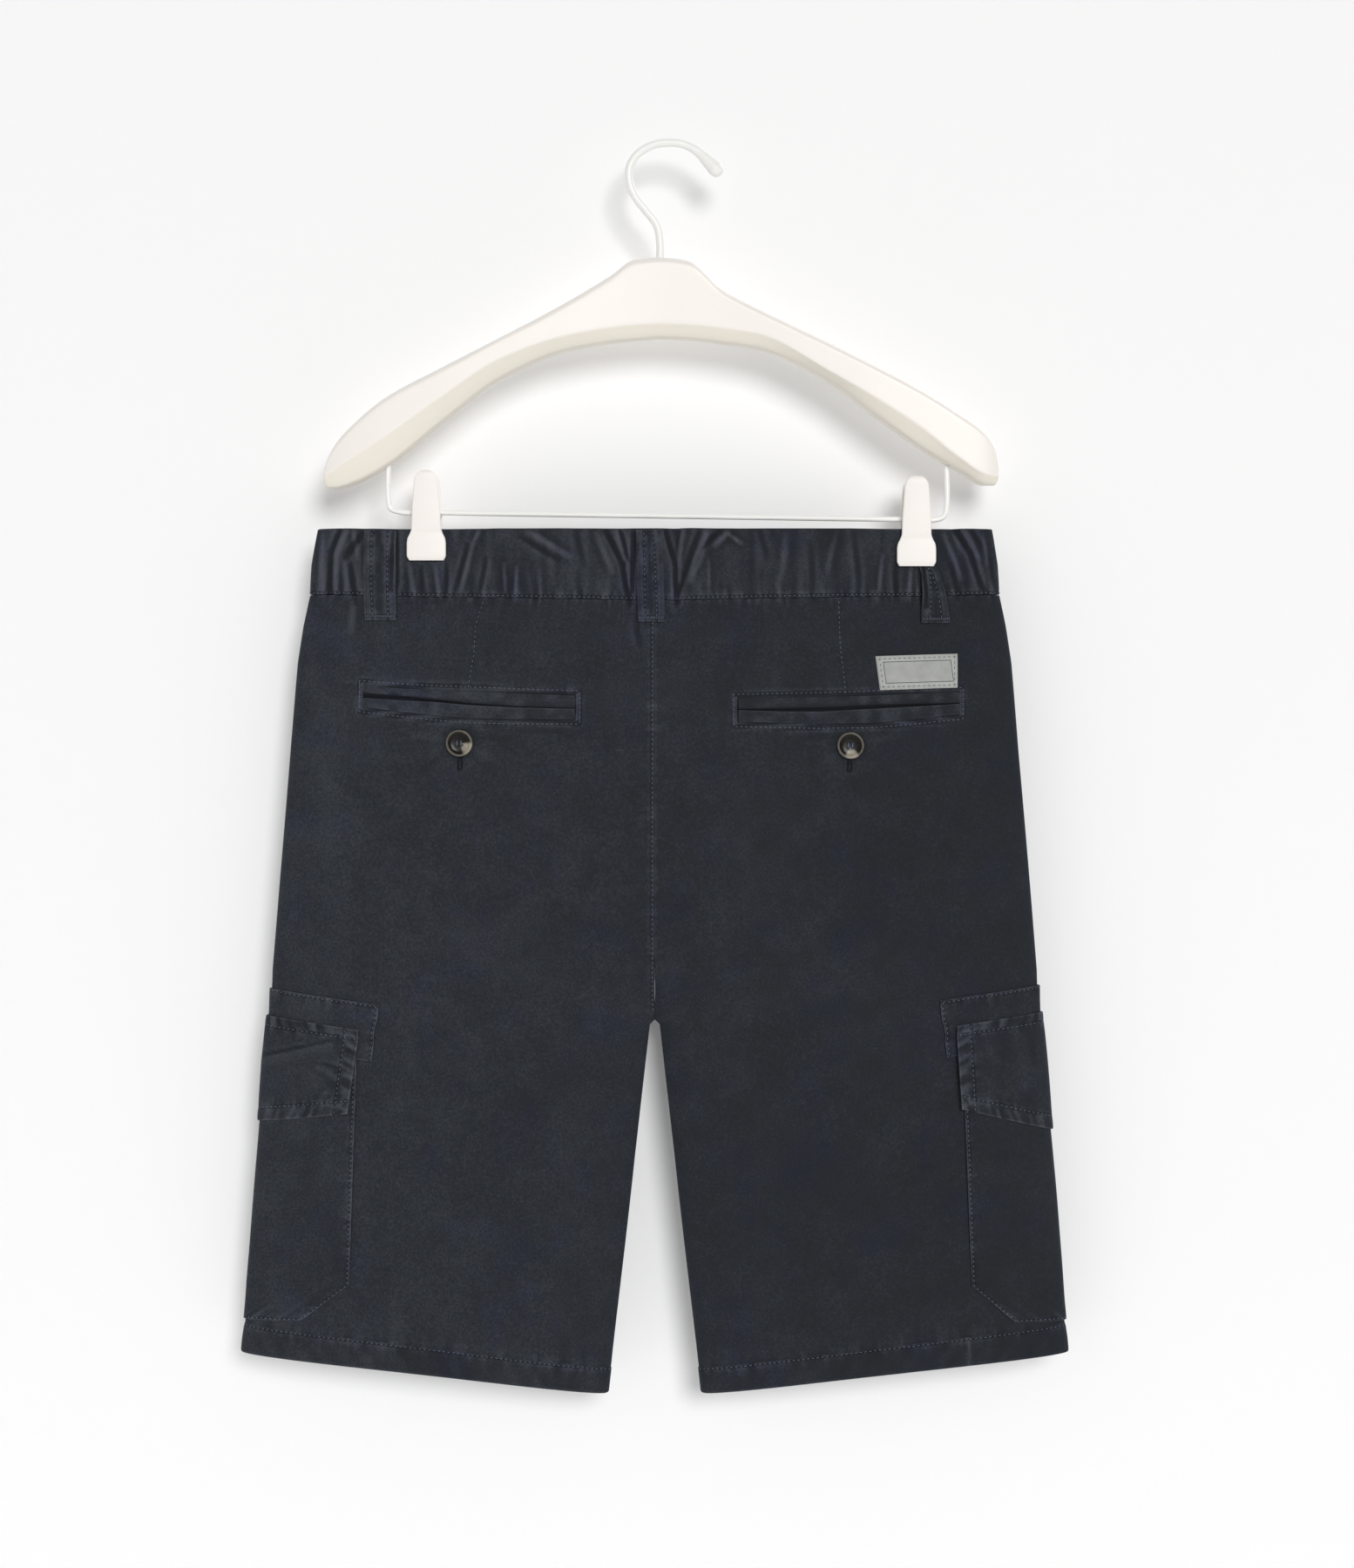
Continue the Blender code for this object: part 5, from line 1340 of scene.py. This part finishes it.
# %% Turning a button
def turn_button(name, x, z, face, highlight_at):
    """A four-hole button with its rim, lying on the cloth, with a painted highlight at one side and round
    its rim.
    """
    mesh = bmesh.new()
    rim = [mesh.verts.new((r, 0, h)) for r, h in BUTTON_PROFILE]
    edges = [mesh.edges.new(pair) for pair in zip(rim, rim[1:])]
    bmesh.ops.spin(mesh, geom=rim + edges, axis=(0, 0, 1), cent=(0, 0, 0), angle=math.tau, steps=64)
    bmesh.ops.remove_doubles(mesh, verts=mesh.verts, dist=1e-3)
    bmesh.ops.recalc_face_normals(mesh, faces=mesh.faces)
    holes = bmesh.new()
    for i in range(4):
        turn = math.tau * (i + 0.5) / 4
        cone = bmesh.ops.create_cone(holes, segments=20, radius1=HOLE_R, radius2=HOLE_R, depth=12.0,
                                     cap_ends=True)
        bmesh.ops.translate(holes, verts=cone["verts"],
                            vec=Vector((math.cos(turn), math.sin(turn), 0)) * HOLE_AT)
    data, cutter_data = bpy.data.meshes.new(name), bpy.data.meshes.new(name + " holes")
    mesh.to_mesh(data)
    holes.to_mesh(cutter_data)
    button, cutter = new_piece(name + " blank", data, horn), new_piece(name + " holes", cutter_data, horn)
    cut = button.modifiers.new("holes", "BOOLEAN")
    cut.operation, cut.solver, cut.object = "DIFFERENCE", "EXACT", cutter
    done = bpy.data.meshes.new_from_object(button.evaluated_get(bpy.context.evaluated_depsgraph_get()))
    bpy.data.objects.remove(button)
    bpy.data.objects.remove(cutter)
    spots = np.array([v.co for v in done.vertices])
    toward = np.array((math.cos(highlight_at), math.sin(highlight_at)))
    angle = (spots[:, :2] @ toward) / np.maximum(np.hypot(spots[:, 0], spots[:, 1]), 1e-6)
    # These lines paint a pale wedge on one side of the face and a pale ring on the rim: painted highlights.
    highlight_share = ease(angle, 0.72, 0.95) * ease(np.hypot(spots[:, 0], spots[:, 1]), 1.5, 4.0)
    highlight_share = np.maximum(highlight_share, 0.50 * ease(np.hypot(spots[:, 0], spots[:, 1]), 7.0, 7.6))
    layer = done.attributes.new("painted_highlight", "FLOAT", "POINT")
    layer.data.foreach_set("value", highlight_share.astype(np.float32))
    at = laid(np.array(x), np.array(z), np.array(face), BUTTON_OFF, np.array(0.0))[0]
    upright = Matrix.Rotation(-face * math.pi / 2, 4, "X") @ Matrix.Scale(MM, 4)
    place = Matrix.Translation(Vector(at) * MM) @ upright
    done.transform(place)
    done.shade_smooth()
    done.set_sharp_from_angle(angle=math.radians(40))
    done.name = name
    threads = []
    for pair in (-1, 1):
        a = Vector((pair * HOLE_AT * 0.71, -HOLE_AT * 0.9, 1.35))
        b = Vector((pair * HOLE_AT * 0.71, HOLE_AT * 0.9, 1.35))
        for k in (-0.22, 0.0, 0.22):
            line = [a.lerp(b, t) + Vector((k, 0, 0.75 * math.sin(math.pi * t)))
                    for t in np.linspace(0, 1, 9)]
            threads.append([place @ p for p in line])
    return new_piece(name, done, horn), threads


print("button profile:", len(BUTTON_PROFILE), "points")


# %% Round wire and thread
def new_tube(name, routes, radius, material, radii=None, smooth=4, bevel=4, bezier=False):
    """Round wire along one or more routes of points in metres, as one plain mesh."""
    curve = bpy.data.curves.new(name, "CURVE")
    curve.dimensions, curve.bevel_depth, curve.bevel_resolution = "3D", radius, bevel
    curve.use_fill_caps, curve.resolution_u = True, smooth
    for route in routes:
        spline = curve.splines.new("BEZIER" if bezier else "POLY")
        knots = spline.bezier_points if bezier else spline.points
        knots.add(len(route) - 1)
        for i, (knot, at) in enumerate(zip(knots, route)):
            knot.co = at if bezier else (*at, 1)
            knot.radius = radii[i] if radii else 1.0
            if bezier:
                knot.handle_left_type = knot.handle_right_type = "AUTO"
    holder = bpy.data.objects.new(name + " curve", curve)
    scene.collection.objects.link(holder)
    made = bpy.data.meshes.new_from_object(holder.evaluated_get(bpy.context.evaluated_depsgraph_get()))
    bpy.data.objects.remove(holder)
    made.name = name
    made.shade_smooth()
    made.set_sharp_from_angle(angle=math.radians(50))
    return new_piece(name, made, material)


print("tubes ready")

# %% Buttons on the cloth
routes = []
for name, (x, z), face, highlight_at in (("button_pocket_left", BUTTONS["left"], SEAT, -0.55),
                                      ("button_pocket_right", BUTTONS["right"], SEAT, -1.45),
                                      ("button_waist", WAIST_BUTTON, FLY, 0.6)):
    PIECES[name], threads = turn_button(name + "_horn", x, z, face, highlight_at)
    routes += threads
PIECES["button_threads"] = new_tube("button_threads", routes, 0.00022, thread, bevel=2)
print(len(routes), "button threads")

# %% [markdown]
# ## Hanger
# The hanger is moulded and lacquered a warm white. Its arms rise to the hook in one sweep, with a
# flat face, a crisp lower edge and a bevelled underside. A loft through the table's sections,
# smoothed between them, gives that. The hook and the bar are bent wire.

# %% Lacquer
lacquer, w, given, result = new_group("lacquer", {
    "Tone": (0.90, 0.87, 0.83, 1), "Gloss": 0.42, "Grain": 0.00006})
place = w.node("ShaderNodeTexCoord").outputs["Object"]
cloudy, fine = w.noise(place, 14.0, 3.0, 0.55), w.noise(place, 700.0, 2.0, 0.5)
warmer = w.tinted(w.math("MULTIPLY", cloudy, 0.5, True), given.outputs["Tone"], (1.0, 0.985, 0.955, 1))
# Where the under value is 1, on the bevel and underside, the lacquer is painted darker and warmer as painted
# shade.
under = w.node("ShaderNodeAttribute", attribute_name="under").outputs["Fac"]
w.links.new(w.tinted(under, warmer, (0.95, 0.94, 0.885, 1)), result.inputs["Color"])
w.links.new(w.math("ADD", given.outputs["Gloss"], w.math("MULTIPLY", w.math("SUBTRACT", fine, 0.5), 0.12)),
            result.inputs["Roughness"])
w.links.new(w.bump(fine, 0.35, given.outputs["Grain"]), result.inputs["Normal"])
hanger_white = new_finish("warm white lacquer", lacquer, Tone=(0.885, 0.845, 0.80, 1), Gloss=0.40)
wire_white = new_finish("white coated wire", lacquer, Tone=(0.88, 0.88, 0.86, 1), Gloss=0.32,
                        Grain=0.00003)
clip_white = new_finish("white satin plastic", lacquer, Tone=(0.89, 0.85, 0.815, 1), Gloss=0.48,
                        Grain=0.00004)
print("lacquer group:", len(lacquer.nodes), "nodes")

# %% Hanger body
HANGER_ROWS = np.array((  # x, top, crease, underside, half depth
    (-215.6, -204.5, -208.5, -211.5, 8.0), (-213.8, -198.0, -207.0, -213.8, 9.5),
    (-208.0, -186.5, -203.0, -214.4, 11.5), (-196.0, -173.3, -195.5, -211.0, 13.3),
    (-176.5, -157.5, -183.0, -200.6, 14.4), (-142.0, -139.0, -158.6, -173.3, 14.8),
    (-105.0, -120.0, -134.6, -145.5, 14.0), (-68.0, -100.3, -121.0, -129.2, 12.6),
    (-37.0, -81.8, -115.0, -123.2, 11.2), (-21.5, -71.5, -113.2, -121.6, 10.7),
    (-5.5, -70.0, -112.3, -120.4, 10.5), (11.5, -71.9, -112.9, -121.0, 10.7),
    (34.3, -90.5, -115.5, -123.7, 11.2), (57.2, -102.7, -119.4, -127.5, 12.2),
    (99.7, -123.2, -142.2, -148.0, 14.0), (128.6, -137.7, -159.1, -169.0, 14.8),
    (157.0, -152.7, -177.7, -189.1, 14.6), (179.9, -166.9, -195.7, -202.8, 14.0),
    (196.7, -178.8, -206.0, -212.0, 12.2), (203.2, -188.5, -207.0, -212.0, 10.0),
    (205.2, -199.5, -207.0, -209.5, 8.0)))
SECTIONS, UNDER_HALF, EDGE_R, FACE_POINTS = 260, 0.52, 0.6, 18


def smooth_rows(table, count):
    """Rows between a table's rows on a smooth curve that never overshoots them."""
    steps = np.hypot(*np.diff(table[:, :2], axis=0).T)
    at = np.concatenate([[0], np.cumsum(steps)])
    slopes = np.diff(table, axis=0) / np.diff(at)[:, None]
    before, after = slopes[:-1], slopes[1:]
    same = (before * after) > 0
    inner = np.where(same, 2 * before * after / np.where(same, before + after, 1.0), 0.0)
    tangents = np.vstack([slopes[:1], inner, slopes[-1:]])
    place = np.linspace(0, at[-1], count)
    i = np.clip(np.searchsorted(at, place, side="right") - 1, 0, len(at) - 2)
    span = (at[i + 1] - at[i])[:, None]
    t = ((place - at[i])[:, None]) / span
    return ((2 * t ** 3 - 3 * t ** 2 + 1) * table[i] + (t ** 3 - 2 * t ** 2 + t) * span * tangents[i]
            + (3 * t ** 2 - 2 * t ** 3) * table[i + 1] + (t ** 3 - t ** 2) * span * tangents[i + 1])


def loft(name, sections):
    """A closed mesh through sections of as many points each, capped at both ends."""
    mesh = bmesh.new()
    loops = [[mesh.verts.new(p) for p in section] for section in sections]
    for a, b in zip(loops, loops[1:]):
        for i in range(len(a)):
            mesh.faces.new((a[i], a[(i + 1) % len(a)], b[(i + 1) % len(a)], b[i]))
    for end in (loops[0], loops[-1]):
        middle = mesh.verts.new(sum((v.co for v in end), Vector()) / len(end))
        for i in range(len(end)):
            mesh.faces.new((end[i], end[(i + 1) % len(end)], middle))
    bmesh.ops.recalc_face_normals(mesh, faces=mesh.faces)
    made = bpy.data.meshes.new(name)
    mesh.to_mesh(made)
    mesh.free()
    made.shade_smooth()
    made.set_sharp_from_angle(angle=math.radians(50))
    return made


def hanger_section(top, crease, under, half):
    """Half of a section, from the middle of its top over its face and bevel to the underside."""
    drop = top - crease
    round_r = min(0.30 * drop, 5.0)
    turn = np.linspace(0, math.pi / 2, 12)
    upper = [(half * math.sin(a) ** 0.85, top - round_r * (1 - math.cos(a))) for a in turn]
    flat_from, flat_to = top - round_r, crease + EDGE_R
    face = [(half, flat_from + (flat_to - flat_from) * s) for s in (0.1, 0.35, 0.65, 0.93, 1.0)]
    low_half = UNDER_HALF * half
    slope = Vector((half - low_half, crease - under)).normalized()
    edge = [(half - EDGE_R * 0.12, crease + 0.35 * EDGE_R), (half - EDGE_R * 0.45, crease - 0.3 * EDGE_R)]
    start = (half - EDGE_R * slope.x, crease - EDGE_R * slope.y)
    bevel = [(start[0] + (low_half + 0.6 - start[0]) * s, start[1] + (under + 0.5 - start[1]) * s)
             for s in (0.0, 0.08, 0.5, 0.9)]
    below = [(low_half - 0.4, under + 0.1), (low_half * 0.5, under), (0.0, under)]
    return upper + face + edge + bevel + below


print("hanger sections", SECTIONS)

# %% Loft the hanger body
sections = []
for x, top, crease, under, half in smooth_rows(HANGER_ROWS, SECTIONS):
    outline = hanger_section(top, crease, under, half)
    loop = [(y, z) for y, z in outline] + [(-y, z) for y, z in outline[-2:0:-1]]
    sections.append([(x * MM, y * MM, z * MM) for y, z in loop])
body = loft("hanger_body_lacquer", sections)
# The bevel and underside get an under value of 1, which the lacquer paints darker and warmer as painted
# shade.
around = np.arange(len(sections[0]))
around = np.minimum(around, len(around) - around) - FACE_POINTS
under = np.tile(ease(around, -1.0, 1.0), len(sections))
under = np.concatenate([under, np.full(len(body.vertices) - len(under), 0.5)])
body.attributes.new("under", "FLOAT", "POINT").data.foreach_set("value", under.astype(np.float32))
PIECES["hanger_body"] = new_piece("hanger_body_lacquer", body, hanger_white)
print("hanger body", len(body.polygons), "faces")

# %% Hook and bar
HOOK_R, BAR_R = 2.55, 1.65
HOOK_ROUTE = (  # x, z, share of the wire's radius
    (-6.0, -78.0, 1.0), (-6.0, -57.0, 1.0), (-8.0, -49.0, 1.0), (-14.4, -40.5, 1.0), (-21.6, -31.0, 1.0),
    (-25.2, -20.0, 1.0), (-23.0, -9.0, 1.0), (-13.4, -0.6, 1.0), (0.0, 2.3, 1.0), (11.5, 0.3, 1.0),
    (19.0, -4.4, 1.15), (25.0, -10.2, 1.6), (29.0, -14.2, 1.9), (31.4, -16.6, 1.5), (32.4, -17.6, 0.7))
BAR_ROUTE = (
    (-175.5, -195.0), (-175.5, -222.5), (-174.4, -226.4), (-170.5, -228.3), (-151.5, -228.9), (0.0, -231.3),
    (154.2, -233.4), (167.5, -233.4), (172.0, -231.2), (173.3, -227.0), (173.3, -195.0))
PIECES["hanger_hook"] = new_tube("hanger_hook_wire", [[(x * MM, 0, z * MM) for x, z, _ in HOOK_ROUTE]],
                                 HOOK_R * MM, wire_white, [r for _, _, r in HOOK_ROUTE], 10, 6, True)
PIECES["hanger_bar"] = new_tube("hanger_bar_wire", [[(x * MM, 0, z * MM) for x, z in BAR_ROUTE]],
                                BAR_R * MM, wire_white, None, 10, 5, True)

# %% [markdown]
# ## Clips
# Each clip has two leaves that rock on a barrel round the bar. A leaf starts narrow at its
# finger end and widens to a jaw with rounded corners. Its sections are lofted and its edges
# bevelled, as a mould would leave them.

# %% Clips
CLIPS = {"left": (-151.5, -203.3, 2.95), "right": (154.2, -207.0, 4.45)}  # x, top, jaw's depth
LEAF_SECTIONS = 60
LEAF_ROWS = np.array((  # below the top, half width, how far outside the jaw's line, thickness
    (0.0, 2.2, 4.2, 1.2), (0.8, 4.2, 4.1, 1.8), (2.4, 6.0, 4.0, 2.2), (5.0, 7.2, 3.8, 2.3),
    (9.0, 7.7, 3.5, 2.3),
    (17.0, 8.2, 2.9, 2.4), (26.0, 8.9, 2.3, 2.6), (36.0, 9.2, 1.2, 2.8), (39.5, 10.4, 0.0, 3.2),
    (42.5, 11.8, 0.0, 3.4), (46.0, 12.2, 0.0, 3.4), (53.0, 12.2, 0.0, 3.2), (56.0, 10.8, 0.0, 2.4)))
for side_name, (x, top, jaw) in CLIPS.items():
    for face, leaf in ((SEAT, "seat"), (FLY, "fly")):
        sections = []
        for down, half, off, thick in smooth_rows(LEAF_ROWS, LEAF_SECTIONS):
            near, far = jaw + off, jaw + off + thick
            soft = min(0.9, 0.42 * thick)
            outline = [(-half + soft * 0.3, near), (half - soft * 0.3, near), (half, near + soft * 0.3)]
            outline += [(half - soft * (1 - math.cos(a)), far - soft + soft * math.sin(a))
                        for a in np.linspace(0, math.pi / 2, 5)]
            outline += [(-p, q) for p, q in reversed(outline[3:])] + [(-half, near + soft * 0.3)]
            sections.append([((x + p) * MM, face * q * MM, (top - down) * MM) for p, q in outline])
        name = f"clip_{side_name}_{leaf}"
        PIECES[name + "_leaf"] = new_piece(name + "_shell", loft(name + "_shell", sections), clip_white)
    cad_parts[f"clip_{side_name}_barrel"].data.materials[0] = clip_white
print("clips made")

# %% [markdown]
# ## Put each piece in place of its solid
# Each piece replaces the plain solid of the same name and moves with the one body. The size each piece of
# cloth was cut to is worked out as well.

NARROWEST = 0.010
for name, piece in CLOTH.items():
    obj = piece["object"]
    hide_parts(name)
    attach(obj, "root")
    wide, tall = float(piece["width"].max()) * MM, max(float(piece["height"].max()) * MM, NARROWEST)
    area = float(piece["width"].mean() * piece["height"].mean()) * MM * MM
    share = min(1.0, area / (wide * tall))
for name, obj in PIECES.items():
    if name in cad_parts:
        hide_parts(name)
    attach(obj, "root")
triangles = {o.name: len(o.data.loops) - 2 * len(o.data.polygons) for o in bpy.data.objects
             if o.type == "MESH" and not o.hide_render}
print("triangles", sum(triangles.values()), "largest", max(triangles.items(), key=lambda t: t[1]))
